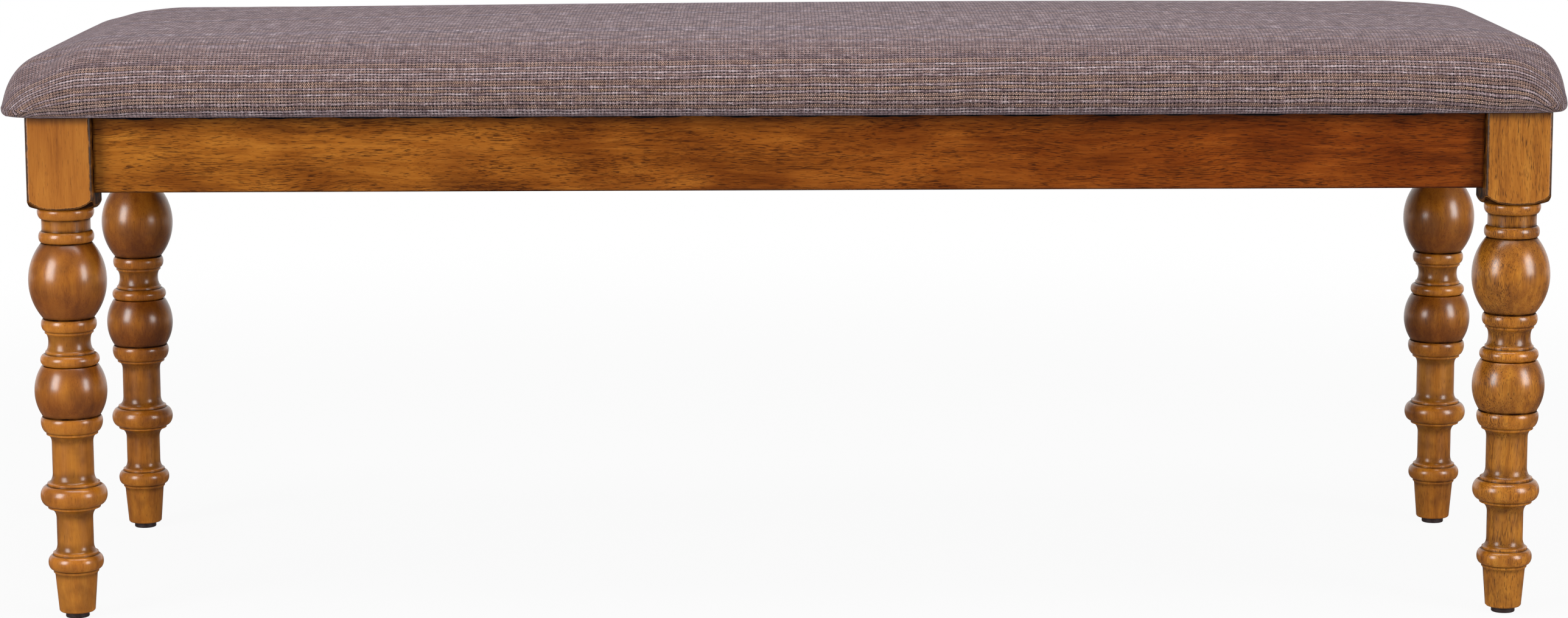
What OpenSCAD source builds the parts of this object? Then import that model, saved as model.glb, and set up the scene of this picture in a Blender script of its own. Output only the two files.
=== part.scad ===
// Upholstered dining bench on four turned legs, in millimetres.
// The origin is on the floor under the middle of the bench. +X runs along its length, the
// front is -Y and +Z is up.

/* [Frame] */
// Distance between the leg axes along the bench
leg_spacing_x = 1186; // [900:1:1500]
// Distance between the leg axes from front to back
leg_spacing_y = 365; // [300:1:450]
// Width of the square block at the top of each leg
block_w = 54; // [52:1:62]
// Height of the leg block, shoulder included
block_h = 76.5; // [74:0.5:90]
// Radius on the upright edges of the leg blocks
block_edge_r = 3; // [1:0.5:4]
// Height of the four rails
rail_h = 63; // [56:1:66]
// Thickness of the four rails
rail_t = 22; // [19:1:25]
// How far the rail faces lie behind the faces of the leg blocks
rail_recess = 12; // [7:1:12]
// Radius on the long edges of the rails
rail_edge_r = 1.5; // [0.5:0.5:3]
// Width of the rail under the middle of the seat
centre_rail_t = 22; // [18:1:30]
// Height of the rail under the middle of the seat
centre_rail_h = 47; // [42:1:52]

/* [Leg turning, heights from the foot up] */
// Tapered foot
foot_h = 30; // [24:0.5:36]
// Chamfer round the bottom of the foot
foot_chamfer = 1; // [0.5:0.1:2]
// Small hollow above the foot
foot_cove_h = 3.5; // [2.5:0.1:5]
// Flat step beside each of the lower beads
fillet_h = 2.2; // [1.5:0.1:3]
// Bead above the foot
ankle_bead_h = 12.5; // [9:0.1:16]
// Hollow above the ankle bead
ankle_cove_h = 7; // [4:0.1:10]
// Straight lower neck
lower_neck_h = 22; // [14:0.5:30]
// Hollow below the broad ring
ring_cove_h = 8.4; // [5:0.1:12]
// Broad ring, the widest bead
ring_h = 17; // [13:0.1:21]
// Hollow above the broad ring
upper_cove_h = 8; // [5:0.1:12]
// Straight upper neck
upper_neck_h = 26; // [18:0.5:34]
// Hollow below the cup
cup_cove_h = 6.5; // [4:0.1:9]
// Cup that the small bulb sits in
cup_h = 13; // [10:0.1:16]
// Small bulb
small_bulb_h = 42.4; // [36:0.1:50]
// Bead on top of the small bulb
cap_bead_h = 10; // [8:0.1:12]
// Hollow above that bead, down to the waist
waist_lower_h = 8.4; // [6:0.1:11]
// Flare from the waist up to the seat of the large bulb
waist_upper_h = 6.5; // [5:0.1:9]
// Bead under the large bulb
seat_bead_h = 10; // [8:0.1:12]
// Large bulb
large_bulb_h = 63; // [54:0.1:72]
// Bead on top of the large bulb
collar_bead_h = 9.6; // [8:0.1:12]
// Straight collar
collar_h = 10; // [7:0.1:13]
// Bead under the shoulder of the block
neck_bead_h = 9; // [7:0.1:11]

/* [Leg turning, radii] */
// Foot at the floor end
foot_r = 14.8; // [13.6:0.1:16.6]
// Foot at its upper end
foot_top_r = 17.2; // [15.6:0.1:18]
// Steps beside the ankle bead
ankle_step_r = 18.7; // [18.2:0.1:20.1]
// Ankle bead
ankle_bead_r = 22.7; // [21.1:0.1:24.6]
// Lower neck
lower_neck_r = 15; // [12.6:0.1:16.6]
// Steps beside the broad ring
ring_step_r = 21.6; // [19.6:0.1:23.1]
// Broad ring
ring_r = 27.4; // [24.6:0.1:28.6]
// Upper neck
upper_neck_r = 17; // [14.6:0.1:18.6]
// Step below the cup
cup_step_r = 21.2; // [19.6:0.1:22.1]
// Cup
cup_r = 25.2; // [24.1:0.1:26.6]
// Grooves at both ends of the small bulb
small_groove_r = 23.3; // [22.2:0.1:23.8]
// Small bulb
small_bulb_r = 29.7; // [26.6:0.1:31.6]
// Bead on top of the small bulb
cap_bead_r = 24.2; // [23.1:0.1:25.6]
// Steps above and below the waist
waist_step_r = 20; // [18.6:0.1:21.6]
// Waist
waist_r = 17.3; // [15.6:0.1:18.1]
// Bead under the large bulb
seat_bead_r = 22.7; // [21.8:0.1:24.6]
// Grooves at both ends of the large bulb
large_groove_r = 20.5; // [19.6:0.1:21.6]
// Large bulb
large_bulb_r = 32; // [29.6:0.1:33.6]
// Bead on top of the large bulb
collar_bead_r = 22.7; // [21.8:0.1:24.6]
// Collar
collar_r = 20; // [18.6:0.1:21.1]
// Bead under the shoulder
neck_bead_r = 23.1; // [22.1:0.1:24.6]
// Groove where the shoulder starts
shoulder_groove_r = 21.6; // [19.6:0.1:22.6]
// Radius over which the shoulder swells out of the groove
shoulder_reach = 18; // [16:0.5:24]
// Height of the shoulder's full quarter round
shoulder_rise = 17; // [12:0.5:20]

/* [Corner blocks] */
// Thickness of the blocks that brace the corners
corner_block_t = 24; // [21:1:28]
// Height of the corner blocks
corner_block_h = 45; // [38:1:50]
// How far the corner blocks lie below the top of the frame
corner_block_drop = 2; // [1:0.5:4]
// Width of the flat on the inner corner of each leg block
leg_flat_w = 13; // [10:0.5:16]

/* [Hanger bolts] */
// Diameter of the hanger bolts
bolt_d = 8; // [6:0.5:10]
// Length of bolt held in the leg
bolt_bite = 42; // [34:1:48]
// Length of bolt that stands out of the nut
bolt_tip = 4; // [2:0.5:8]
// Outer diameter of the flat washers
washer_d = 17; // [15:0.5:22]
// Thickness of the flat washers
washer_t = 1.6; // [1:0.1:2.5]
// Outer diameter of the lock washers
lock_washer_d = 14.4; // [13:0.1:16]
// Thickness of the lock washers
lock_washer_t = 2.2; // [1.6:0.1:3]
// Width of the split in the lock washers
lock_split_w = 2; // [1:0.1:3]
// Width of the nuts across their flats
nut_w = 13; // [12.5:0.1:17]
// Thickness of the nuts
nut_t = 6.5; // [5:0.1:8]

/* [Screws and dowels] */
// Diameter of the screws that hold the corner blocks to the rails
rail_screw_d = 4; // [3:0.5:5]
// Length of those screws held in the rail
rail_screw_bite = 15; // [10:1:17]
// Wood of the corner block left under the heads of those screws
rail_screw_seat = 11; // [8:0.5:13]
// Distance between the two screws in each end of a corner block
rail_screw_pitch = 22; // [16:1:28]
// Diameter of the screws that hold the seat
seat_screw_d = 4.5; // [3.5:0.5:5]
// Length of those screws held in the seat board
seat_screw_bite = 9; // [6:0.5:10]
// Depth of the holes that take their heads
seat_screw_recess = 8; // [5:0.5:12]
// Distance of the seat screws from the hanger bolts
seat_screw_offset = 24; // [18:0.5:26]
// Distance between the two seat screws in the centre rail
centre_screw_spacing = 200; // [120:1:240]
// Head diameter of all the screws
screw_head_d = 8; // [7:0.5:9]
// Head height of all the screws
screw_head_h = 2.6; // [2:0.1:3.5]
// Diameter of the dowels in the ends of the centre rail
dowel_d = 8; // [6:0.5:10]
// Length of those dowels
dowel_l = 30; // [24:1:40]
// Length of a dowel held in the front or back rail
dowel_bite = 12; // [8:1:14]
// Distance between the two dowels at each end
dowel_pitch = 22; // [16:1:26]
// Gap round a bolt, screw, nail or dowel in the wood that holds it
wood_fit = 0.1; // [0.05:0.05:0.2]
// Gap round a bolt or screw in a hole that it passes through
through_fit = 0.5; // [0.3:0.1:1]

/* [Glides] */
// Diameter of the glides under the feet
glide_d = 19.5; // [16:0.5:24]
// Height of the glides
glide_h = 5; // [4:0.5:8]
// Radius round the bottom edge of the glides
glide_edge_r = 1; // [0.5:0.1:2]
// Diameter of the nail in each glide
nail_d = 2.4; // [2:0.1:3]
// Length of nail in the foot
nail_bite = 18; // [12:1:24]
// Diameter of the nail head
nail_head_d = 7; // [5:0.5:9]
// Thickness of the nail head
nail_head_t = 1.2; // [0.8:0.1:1.6]

/* [Seat] */
// How far the seat stands out beyond the faces of the leg blocks
seat_overhang = 17; // [12:0.5:22]
// Rise of the rounded side above the widest line
seat_side_h = 45.5; // [36:0.5:60]
// How far in from the edge the rounding of the side reaches
seat_round = 58; // [52:0.5:70]
// Extra height of the crown in the middle
seat_crown = 9; // [4:0.5:16]
// How far the side draws in below the widest line
seat_tuck = 5; // [3:0.5:6]
// Thickness of the cover fabric
cover_t = 1.2; // [0.8:0.1:2]
// Width of the cover that is turned under the board
hem_w = 42; // [30:1:46]
// Gap between the cover and the foam, and between the cover and the lower edge of the board
pad_gap = 0.3; // [0.2:0.1:0.5]
// Thickness of the seat board, whose top is level with the widest line of the seat
board_t = 11; // [10.5:0.5:18]
// Thickness of the dust cover
dust_cover_t = 0.5; // [0.3:0.1:1]
// How far the dust cover reaches beyond the faces of the leg blocks
dust_cover_margin = 4; // [0:0.5:6]
// Corner rounding of the dust cover
dust_cover_corner_r = 20; // [12:1:40]

/* [Hidden] */
$fn = 64;

WOOD = [0.66, 0.38, 0.15];
RAIL_WOOD = [0.62, 0.34, 0.12];
PLAIN_WOOD = [0.82, 0.68, 0.48];
STEEL = [0.70, 0.71, 0.72];
CLOTH = [0.52, 0.46, 0.46];
FOAM = [0.93, 0.90, 0.78];
BLACK = [0.10, 0.09, 0.09];
GLIDE = [0.16, 0.10, 0.09];

// A little more than nothing, for cuts that run out through a face
PAST = 1;
// Length of the point of a screw, nail or dowel chamfer
POINT = 3;
DOWEL_CHAMFER = 1;
// Straight pieces in the curve of a bead, a hollow, a bulb and the shoulder
BEAD_STEPS = 12;
COVE_STEPS = 8;
BULB_STEPS = 26;
SHOULDER_STEPS = 12;
// Points round a seat corner, along a long side and along a short side
CORNER_STEPS = 4;
LENGTH_STEPS = 8;
DEPTH_STEPS = 3;
// A corner of the seat lies between a circle, 2, and a square
CORNER_POWER = 3;
// The side of the seat is nearly a quarter round, 2
SIDE_POWER = 1.87;
// Angles round the side and under the edge, and shares of the flat middle of the top
SIDE_ANGLES = [80, 67, 54, 41, 27, 13, 0];
TUCK_ANGLES = [45, 90];
MIDDLE_SHARES = [0.12, 0.45, 0.8];
MIDDLE_CORNER_R = 8;

half_block = block_w / 2;

// The turning of a leg from the foot up. Each row is a stretch: its kind, its height, the
// radius where it starts, the radius where it ends and, on a bead or bulb, its greatest radius.
TURNING = [
    ["straight", foot_chamfer, foot_r - foot_chamfer, foot_r, 0],
    ["straight", foot_h - foot_chamfer, foot_r, foot_top_r, 0],
    ["cove", foot_cove_h, foot_top_r, ankle_step_r, 0],
    ["straight", fillet_h, ankle_step_r, ankle_step_r, 0],
    ["bead", ankle_bead_h, ankle_step_r, ankle_step_r, ankle_bead_r],
    ["straight", fillet_h, ankle_step_r, ankle_step_r, 0],
    ["cove", ankle_cove_h, ankle_step_r, lower_neck_r, 0],
    ["straight", lower_neck_h, lower_neck_r, lower_neck_r, 0],
    ["cove", ring_cove_h, lower_neck_r, ring_step_r, 0],
    ["straight", fillet_h, ring_step_r, ring_step_r, 0],
    ["bead", ring_h, ring_step_r, ring_step_r, ring_r],
    ["straight", fillet_h, ring_step_r, ring_step_r, 0],
    ["cove", upper_cove_h, ring_step_r, upper_neck_r, 0],
    ["straight", upper_neck_h, upper_neck_r, upper_neck_r, 0],
    ["cove", cup_cove_h, upper_neck_r, cup_step_r, 0],
    ["straight", fillet_h, cup_step_r, cup_step_r, 0],
    ["bead", cup_h, cup_step_r, small_groove_r, cup_r],
    ["bulb", small_bulb_h, small_groove_r, small_groove_r, small_bulb_r],
    ["bead", cap_bead_h, waist_step_r, waist_step_r, cap_bead_r],
    ["straight", fillet_h, waist_step_r, waist_step_r, 0],
    ["cove", waist_lower_h, waist_step_r, waist_r, 0],
    ["cove", waist_upper_h, waist_r, waist_step_r, 0],
    ["straight", fillet_h, waist_step_r, waist_step_r, 0],
    ["bead", seat_bead_h, waist_step_r, large_groove_r, seat_bead_r],
    ["bulb", large_bulb_h, large_groove_r, large_groove_r, large_bulb_r],
    ["bead", collar_bead_h, collar_r, collar_r, collar_bead_r],
    ["straight", collar_h, collar_r, collar_r, 0],
    ["bead", neck_bead_h, collar_r, shoulder_groove_r, neck_bead_r]
];

// Height of the turning below row i
function below(i) = i == 0 ? 0 : below(i - 1) + TURNING[i - 1][1];

// Levels of the frame above the floor
shoulder_z = glide_h + below(len(TURNING));
frame_h = shoulder_z + block_h;
corner_block_z = frame_h - corner_block_drop - corner_block_h;
bolt_z = corner_block_z + corner_block_h / 2;
centre_rail_z = frame_h - centre_rail_h;

// Levels of the seat above the floor
seat_z = frame_h + dust_cover_t;
board_z = seat_z + cover_t;
widest_z = board_z + board_t;

// Distances from a leg's axis towards the middle of the bench, along X and along Y alike
rail_face = rail_recess - half_block;
rail_back = rail_face + rail_t;
// The same distances measured across the corner, along the line of the hanger bolt
flat_d = half_block * sqrt(2) - leg_flat_w / 2;
brace_d = flat_d + corner_block_t;
// Where the two sloping faces of a corner block meet the rail
brace_start = flat_d * sqrt(2) - rail_back;
brace_end = brace_d * sqrt(2) - rail_back;
rail_screw_x = (brace_start + brace_end) / 2;

// Distances from the middle of the bench
rail_y = leg_spacing_y / 2 - rail_face - rail_t / 2;
rail_x = leg_spacing_x / 2 - rail_face - rail_t / 2;
rail_inside_y = leg_spacing_y / 2 - rail_back;
seat_half_l = leg_spacing_x / 2 + half_block + seat_overhang;
seat_half_d = leg_spacing_y / 2 + half_block + seat_overhang;

// A bead or a bulb as [radius, height] pairs: half an ellipse, or an arc of a circle, that
// stands on the straight line between its two ends
function swell(kind, s, h, rise) =
    kind == "bead" ? rise * sqrt(1 - pow(2 * s - 1, 2))
    : let (c = h / 2, big = (c * c + rise * rise) / (2 * rise))
        sqrt(big * big - pow((2 * s - 1) * c, 2)) - (big - rise);

// A hollow is a quarter of an ellipse that runs along the leg at its thin end and square to
// the leg at its wide end
function hollow(s, r0, r1) =
    r1 > r0 ? [r0 + (r1 - r0) * (1 - cos(90 * s)), sin(90 * s)]
            : [r0 + (r1 - r0) * sin(90 * s), 1 - cos(90 * s)];

function steps(kind) = kind == "bead" ? BEAD_STEPS : kind == "bulb" ? BULB_STEPS
                     : kind == "cove" ? COVE_STEPS : 1;

function stretch(kind, h, r0, r1, top_r) = [
    for (i = [0:steps(kind)])
        let (s = i / steps(kind), line = r0 + (r1 - r0) * s)
        kind == "straight" ? [line, h * s]
        : kind == "cove" ? let (p = hollow(s, r0, r1)) [p[0], h * p[1]]
        : [line + swell(kind, s, h, top_r - (r0 + r1) / 2), h * s]
];

// Neighbouring rows often share a point, so a repeated point is left out
TURNING_POINTS = [
    for (i = [0:len(TURNING) - 1])
        let (row = TURNING[i])
        for (p = stretch(row[0], row[1], row[2], row[3], row[4]))
            [p[0], glide_h + below(i) + p[1]]
];
LEG_PROFILE = concat(
    [[0, glide_h]],
    [for (i = [0:len(TURNING_POINTS) - 1])
        if (i == 0 || norm(TURNING_POINTS[i] - TURNING_POINTS[i - 1]) > 0.01) TURNING_POINTS[i]],
    [[0, shoulder_z]]);

// The shoulder swells out of its groove as a quarter of an ellipse and then runs straight up
// outside the corners of the block
SHOULDER_PROFILE = concat(
    [[0, shoulder_z]],
    [for (i = [0:SHOULDER_STEPS])
        let (a = 90 * i / SHOULDER_STEPS)
        [shoulder_groove_r + shoulder_reach * sin(a), shoulder_z + shoulder_rise * (1 - cos(a))]],
    [[shoulder_groove_r + shoulder_reach + PAST, shoulder_z + shoulder_rise],
     [shoulder_groove_r + shoulder_reach + PAST, frame_h + PAST], [0, frame_h + PAST]]);

// The outline of a seat layer, half_l by half_d from its middle, whose corners are rounded
// over a length r
function corner_share(i) =
    let (a = 90 * i / CORNER_STEPS) [pow(cos(a), 2 / CORNER_POWER), pow(sin(a), 2 / CORNER_POWER)];
function outline(half_l, half_d, r) =
    let (x = half_l - r, y = half_d - r, k = [for (i = [0:CORNER_STEPS]) r * corner_share(i)])
    concat(
        [for (p = k) [x + p[0], y + p[1]]],
        [for (i = [1:LENGTH_STEPS - 1]) [x * (1 - 2 * i / LENGTH_STEPS), half_d]],
        [for (p = k) [-x - p[1], y + p[0]]],
        [for (i = [1:DEPTH_STEPS - 1]) [-half_l, y * (1 - 2 * i / DEPTH_STEPS)]],
        [for (p = k) [-x - p[0], -y - p[1]]],
        [for (i = [1:LENGTH_STEPS - 1]) [-x * (1 - 2 * i / LENGTH_STEPS), -half_d]],
        [for (p = k) [x + p[1], -y - p[0]]],
        [for (i = [1:DEPTH_STEPS - 1]) [half_l, -y * (1 - 2 * i / DEPTH_STEPS)]]);

// An outline lifted to height z, and by the crown above that
function crown_at(p) = seat_crown * (1 - pow(p[0] / seat_half_l, 2)) * (1 - pow(p[1] / seat_half_d, 2));
function ring(half_l, half_d, r, z) = [for (p = outline(half_l, half_d, r)) [p[0], p[1], z]];
function crowned_ring(half_l, half_d, r, z) =
    [for (p = outline(half_l, half_d, r)) [p[0], p[1], z + crown_at(p)]];

// The upper surface of the seat as rings from the middle of the top down to the widest line.
// An inner surface lies deep inside the outer one.
function top_rings(deep) =
    let (l = seat_half_l - deep, d = seat_half_d - deep, r = seat_round - deep,
         rise = seat_side_h - deep, top_z = widest_z + rise)
    concat(
        [for (i = [0:len(MIDDLE_SHARES) - 1])
            let (k = MIDDLE_SHARES[i], half_l = (l - r) * k, half_d = (d - r) * k)
            i == 0 ? ring(half_l, half_d, MIDDLE_CORNER_R, top_z + seat_crown)
                   : crowned_ring(half_l, half_d, MIDDLE_CORNER_R, top_z)],
        [for (a = SIDE_ANGLES)
            let (w = pow(cos(a), 2 / SIDE_POWER), inset = r * (1 - w))
            crowned_ring(l - inset, d - inset, r * w,
                         widest_z + rise * pow(sin(a), 2 / SIDE_POWER))]);

// From the widest line down to the underside, drawn in by the tuck
function tuck_rings(deep) = [
    for (a = TUCK_ANGLES)
        let (inset = deep + seat_tuck * (1 - cos(a)), drop = (widest_z - seat_z - deep) * sin(a))
        crowned_ring(seat_half_l - inset, seat_half_d - inset, seat_round - inset, widest_z - drop)
];

// A closed skin over a stack of rings that all have the same number of points. The first and
// the last ring are flat, and each is closed by a fan of triangles from its middle.
module skin(rings) {
    n = len(rings[0]);
    last = len(rings) - 1;
    first_middle = n * len(rings);
    last_middle = first_middle + 1;
    points = concat(
        [for (r = rings) for (p = r) p],
        [[0, 0, rings[0][0][2]], [0, 0, rings[last][0][2]]]);
    faces = concat(
        [for (j = [0:last - 1])
            for (i = [0:n - 1])
                let (a = j * n + i, b = j * n + (i + 1) % n)
                for (t = [[a, b, a + n], [b, b + n, a + n]]) t],
        [for (i = [0:n - 1]) [first_middle, (i + 1) % n, i]],
        [for (i = [0:n - 1]) [last_middle, last * n + i, last * n + (i + 1) % n]]);
    polyhedron(points, faces);
}

// Puts what is drawn for the front left leg, with its inside towards +X and +Y, at a corner
module corner(side_x, side_y) {
    translate([side_x * leg_spacing_x / 2, side_y * leg_spacing_y / 2, 0])
        mirror([side_x > 0 ? 1 : 0, 0, 0])
            mirror([0, side_y > 0 ? 1 : 0, 0])
                children();
}
module each_corner() {
    for (side_x = [-1, 1])
        for (side_y = [-1, 1])
            corner(side_x, side_y)
                children();
}

// Draws something for the long rail and again for the end rail of the same corner
module both_rails() {
    children();
    mirror([1, -1, 0])
        children();
}

// A rectangle whose corners are rounded, centred on the origin
module eased_rect(w, h, r) {
    square([w - 2 * r, h], center = true);
    square([w, h - 2 * r], center = true);
    for (x = [-1, 1])
        for (y = [-1, 1])
            translate([x * (w / 2 - r), y * (h / 2 - r)])
                circle(r);
}

// Turns an axis that points up so that it points across the corner, away from the leg
module across_corner() {
    translate([0, 0, bolt_z])
        rotate([0, 0, 45])
            rotate([0, 90, 0])
                children();
}

module wood_screw(d, l) {
    translate([0, 0, -screw_head_h])
        cylinder(h = screw_head_h, d1 = screw_head_d * 0.75, d2 = screw_head_d);
    cylinder(h = l - POINT, d = d);
    translate([0, 0, l - POINT])
        cylinder(h = POINT, d1 = d, d2 = d / 4);
}

module leg(side_x, side_y) {
    color(WOOD)
        corner(side_x, side_y)
            difference() {
                union() {
                    rotate_extrude()
                        polygon(LEG_PROFILE);
                    intersection() {
                        translate([0, 0, shoulder_z])
                            linear_extrude(block_h)
                                eased_rect(block_w, block_w, block_edge_r);
                        rotate_extrude()
                            polygon(SHOULDER_PROFILE);
                    }
                }
                rotate([0, 0, 45])
                    translate([flat_d, -block_w / 2, shoulder_z])
                        cube([block_w, block_w, block_h + PAST]);
                across_corner()
                    translate([0, 0, flat_d - bolt_bite - wood_fit])
                        cylinder(h = bolt_bite + PAST, d = bolt_d + 2 * wood_fit);
                translate([0, 0, glide_h - PAST])
                    cylinder(h = nail_bite + PAST + wood_fit, d = nail_d + 2 * wood_fit);
            }
}

// The two screw positions in one end of a corner block, pointing into the long rail
module rail_screw_places() {
    for (z = [-1, 1])
        translate([rail_screw_x, rail_back + rail_screw_seat, bolt_z + z * rail_screw_pitch / 2])
            rotate([90, 0, 0])
                children();
}

module rail_screw_holes() {
    each_corner()
        both_rails()
            rail_screw_places()
                cylinder(h = rail_screw_seat + rail_screw_bite + wood_fit,
                         d = rail_screw_d + 2 * wood_fit);
}

// The dowel positions at both ends of the centre rail, pointing out of its ends
module dowel_places() {
    for (side_y = [-1, 1])
        for (z = [-1, 1])
            translate([0, side_y * rail_inside_y, centre_rail_z + centre_rail_h / 2 + z * dowel_pitch / 2])
                rotate([-90 * side_y, 0, 0])
                    children();
}

module dowel_holes() {
    dowel_places()
        translate([0, 0, dowel_bite - dowel_l - wood_fit])
            cylinder(h = dowel_l + 2 * wood_fit, d = dowel_d + 2 * wood_fit);
}

module long_rail(side_y) {
    color(RAIL_WOOD)
        difference() {
            translate([0, side_y * rail_y, frame_h - rail_h / 2])
                rotate([90, 0, 90])
                    linear_extrude(leg_spacing_x - block_w, center = true)
                        eased_rect(rail_t, rail_h, rail_edge_r);
            rail_screw_holes();
            dowel_holes();
        }
}

module end_rail(side_x) {
    color(RAIL_WOOD)
        difference() {
            translate([side_x * rail_x, 0, frame_h - rail_h / 2])
                rotate([90, 0, 0])
                    linear_extrude(leg_spacing_y - block_w, center = true)
                        eased_rect(rail_t, rail_h, rail_edge_r);
            rail_screw_holes();
        }
}

// Positions of the seat screws, pointing up from the seats of their heads
module corner_seat_screw_place() {
    rotate([0, 0, 45])
        translate([(flat_d + brace_d) / 2, -seat_screw_offset, corner_block_z + seat_screw_recess])
            children();
}
module centre_seat_screw_places() {
    for (y = [-1, 1])
        translate([0, y * centre_screw_spacing / 2, centre_rail_z + seat_screw_recess])
            children();
}

// The hole for a seat screw, with the wider hole below that takes its head
module seat_screw_hole(l) {
    cylinder(h = l, d = seat_screw_d + 2 * through_fit);
    translate([0, 0, -seat_screw_recess - PAST])
        cylinder(h = seat_screw_recess + PAST, d = screw_head_d + 2 * through_fit);
}

module centre_rail() {
    color(PLAIN_WOOD)
        difference() {
            translate([-centre_rail_t / 2, -rail_inside_y, centre_rail_z])
                cube([centre_rail_t, 2 * rail_inside_y, centre_rail_h]);
            dowel_holes();
            centre_seat_screw_places()
                seat_screw_hole(centre_rail_h);
        }
}

module corner_block(side_x, side_y) {
    color(PLAIN_WOOD)
        corner(side_x, side_y)
            difference() {
                translate([0, 0, corner_block_z])
                    linear_extrude(corner_block_h)
                        polygon([[rail_back, brace_start], [rail_back, brace_end],
                                 [brace_end, rail_back], [brace_start, rail_back]]);
                across_corner()
                    translate([0, 0, flat_d - PAST])
                        cylinder(h = corner_block_t + 2 * PAST, d = bolt_d + 2 * through_fit);
                both_rails()
                    rail_screw_places() {
                        cylinder(h = rail_screw_seat + PAST, d = rail_screw_d + 2 * through_fit);
                        translate([0, 0, -brace_end])
                            cylinder(h = brace_end, d = screw_head_d + 2 * through_fit);
                    }
                corner_seat_screw_place()
                    seat_screw_hole(corner_block_h);
            }
}

// The parts on each hanger bolt, drawn upwards from the face of the corner block
module on_bolts() {
    each_corner()
        across_corner()
            translate([0, 0, brace_d])
                children();
}

module hanger_bolts() {
    stack = corner_block_t + washer_t + lock_washer_t + nut_t + bolt_tip;
    color(STEEL)
        each_corner()
            across_corner()
                translate([0, 0, flat_d - bolt_bite]) {
                    cylinder(h = POINT, d1 = bolt_d / 2, d2 = bolt_d);
                    translate([0, 0, POINT])
                        cylinder(h = bolt_bite + stack - POINT, d = bolt_d);
                }
}

module flat_washers() {
    color(STEEL)
        on_bolts()
            difference() {
                cylinder(h = washer_t, d = washer_d);
                translate([0, 0, -PAST])
                    cylinder(h = washer_t + 2 * PAST, d = bolt_d + 2 * wood_fit);
            }
}

module lock_washers() {
    color(STEEL)
        on_bolts()
            translate([0, 0, washer_t])
                difference() {
                    cylinder(h = lock_washer_t, d = lock_washer_d);
                    translate([0, 0, -PAST])
                        cylinder(h = lock_washer_t + 2 * PAST, d = bolt_d + 2 * wood_fit);
                    translate([0, -lock_split_w / 2, -PAST])
                        cube([lock_washer_d, lock_split_w, lock_washer_t + 2 * PAST]);
                }
}

module hex_nuts() {
    color(STEEL)
        on_bolts()
            translate([0, 0, washer_t + lock_washer_t])
                difference() {
                    cylinder(h = nut_t, d = nut_w / cos(30), $fn = 6);
                    translate([0, 0, -PAST])
                        cylinder(h = nut_t + 2 * PAST, d = bolt_d + 2 * wood_fit);
                }
}

module corner_block_screws() {
    color(STEEL)
        each_corner()
            both_rails()
                rail_screw_places()
                    wood_screw(rail_screw_d, rail_screw_seat + rail_screw_bite);
}

module seat_screws() {
    top_z = board_z + seat_screw_bite;
    color(STEEL) {
        each_corner()
            corner_seat_screw_place()
                wood_screw(seat_screw_d, top_z - corner_block_z - seat_screw_recess);
        centre_seat_screw_places()
            wood_screw(seat_screw_d, top_z - centre_rail_z - seat_screw_recess);
    }
}

module centre_rail_dowels() {
    color(PLAIN_WOOD)
        dowel_places()
            translate([0, 0, dowel_bite - dowel_l]) {
                cylinder(h = DOWEL_CHAMFER, d1 = dowel_d - 2 * DOWEL_CHAMFER, d2 = dowel_d);
                translate([0, 0, DOWEL_CHAMFER])
                    cylinder(h = dowel_l - 2 * DOWEL_CHAMFER, d = dowel_d);
                translate([0, 0, dowel_l - DOWEL_CHAMFER])
                    cylinder(h = DOWEL_CHAMFER, d1 = dowel_d, d2 = dowel_d - 2 * DOWEL_CHAMFER);
            }
}

module glide(side_x, side_y) {
    color(GLIDE)
        corner(side_x, side_y)
            difference() {
                rotate_extrude() {
                    square([glide_d / 2 - glide_edge_r, glide_h]);
                    translate([0, glide_edge_r])
                        square([glide_d / 2, glide_h - glide_edge_r]);
                    translate([glide_d / 2 - glide_edge_r, glide_edge_r])
                        circle(glide_edge_r);
                }
                translate([0, 0, glide_h - nail_head_t - wood_fit])
                    cylinder(h = nail_head_t + wood_fit + PAST, d = nail_head_d + 2 * wood_fit);
            }
}

module glide_nails() {
    color(STEEL)
        each_corner() {
            translate([0, 0, glide_h - nail_head_t])
                cylinder(h = nail_head_t, d = nail_head_d);
            translate([0, 0, glide_h])
                cylinder(h = nail_bite - POINT, d = nail_d);
            translate([0, 0, glide_h + nail_bite - POINT])
                cylinder(h = POINT, d1 = nail_d, d2 = nail_d / 4);
        }
}

// Holes for all the seat screws, from below the dust cover up into the board
module board_screw_holes(d, h) {
    each_corner()
        rotate([0, 0, 45])
            translate([(flat_d + brace_d) / 2, -seat_screw_offset, frame_h - PAST])
                cylinder(h = h, d = d);
    for (y = [-1, 1])
        translate([0, y * centre_screw_spacing / 2, frame_h - PAST])
            cylinder(h = h, d = d);
}

module seat_board() {
    inset = cover_t + seat_tuck + pad_gap;
    color(PLAIN_WOOD)
        difference() {
            translate([0, 0, board_z])
                linear_extrude(board_t)
                    polygon(outline(seat_half_l - inset, seat_half_d - inset, seat_round - inset));
            board_screw_holes(seat_screw_d + 2 * wood_fit,
                              board_z - frame_h + PAST + seat_screw_bite + wood_fit);
        }
}

// The foam fills the cover and lies flat on the board
module foam_pad() {
    deep = cover_t + pad_gap;
    upper = top_rings(deep);
    color(FOAM)
        skin(concat(
            [for (i = [0:len(upper) - 2]) upper[i]],
            [ring(seat_half_l - deep, seat_half_d - deep, seat_round - deep, widest_z)]));
}

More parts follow.
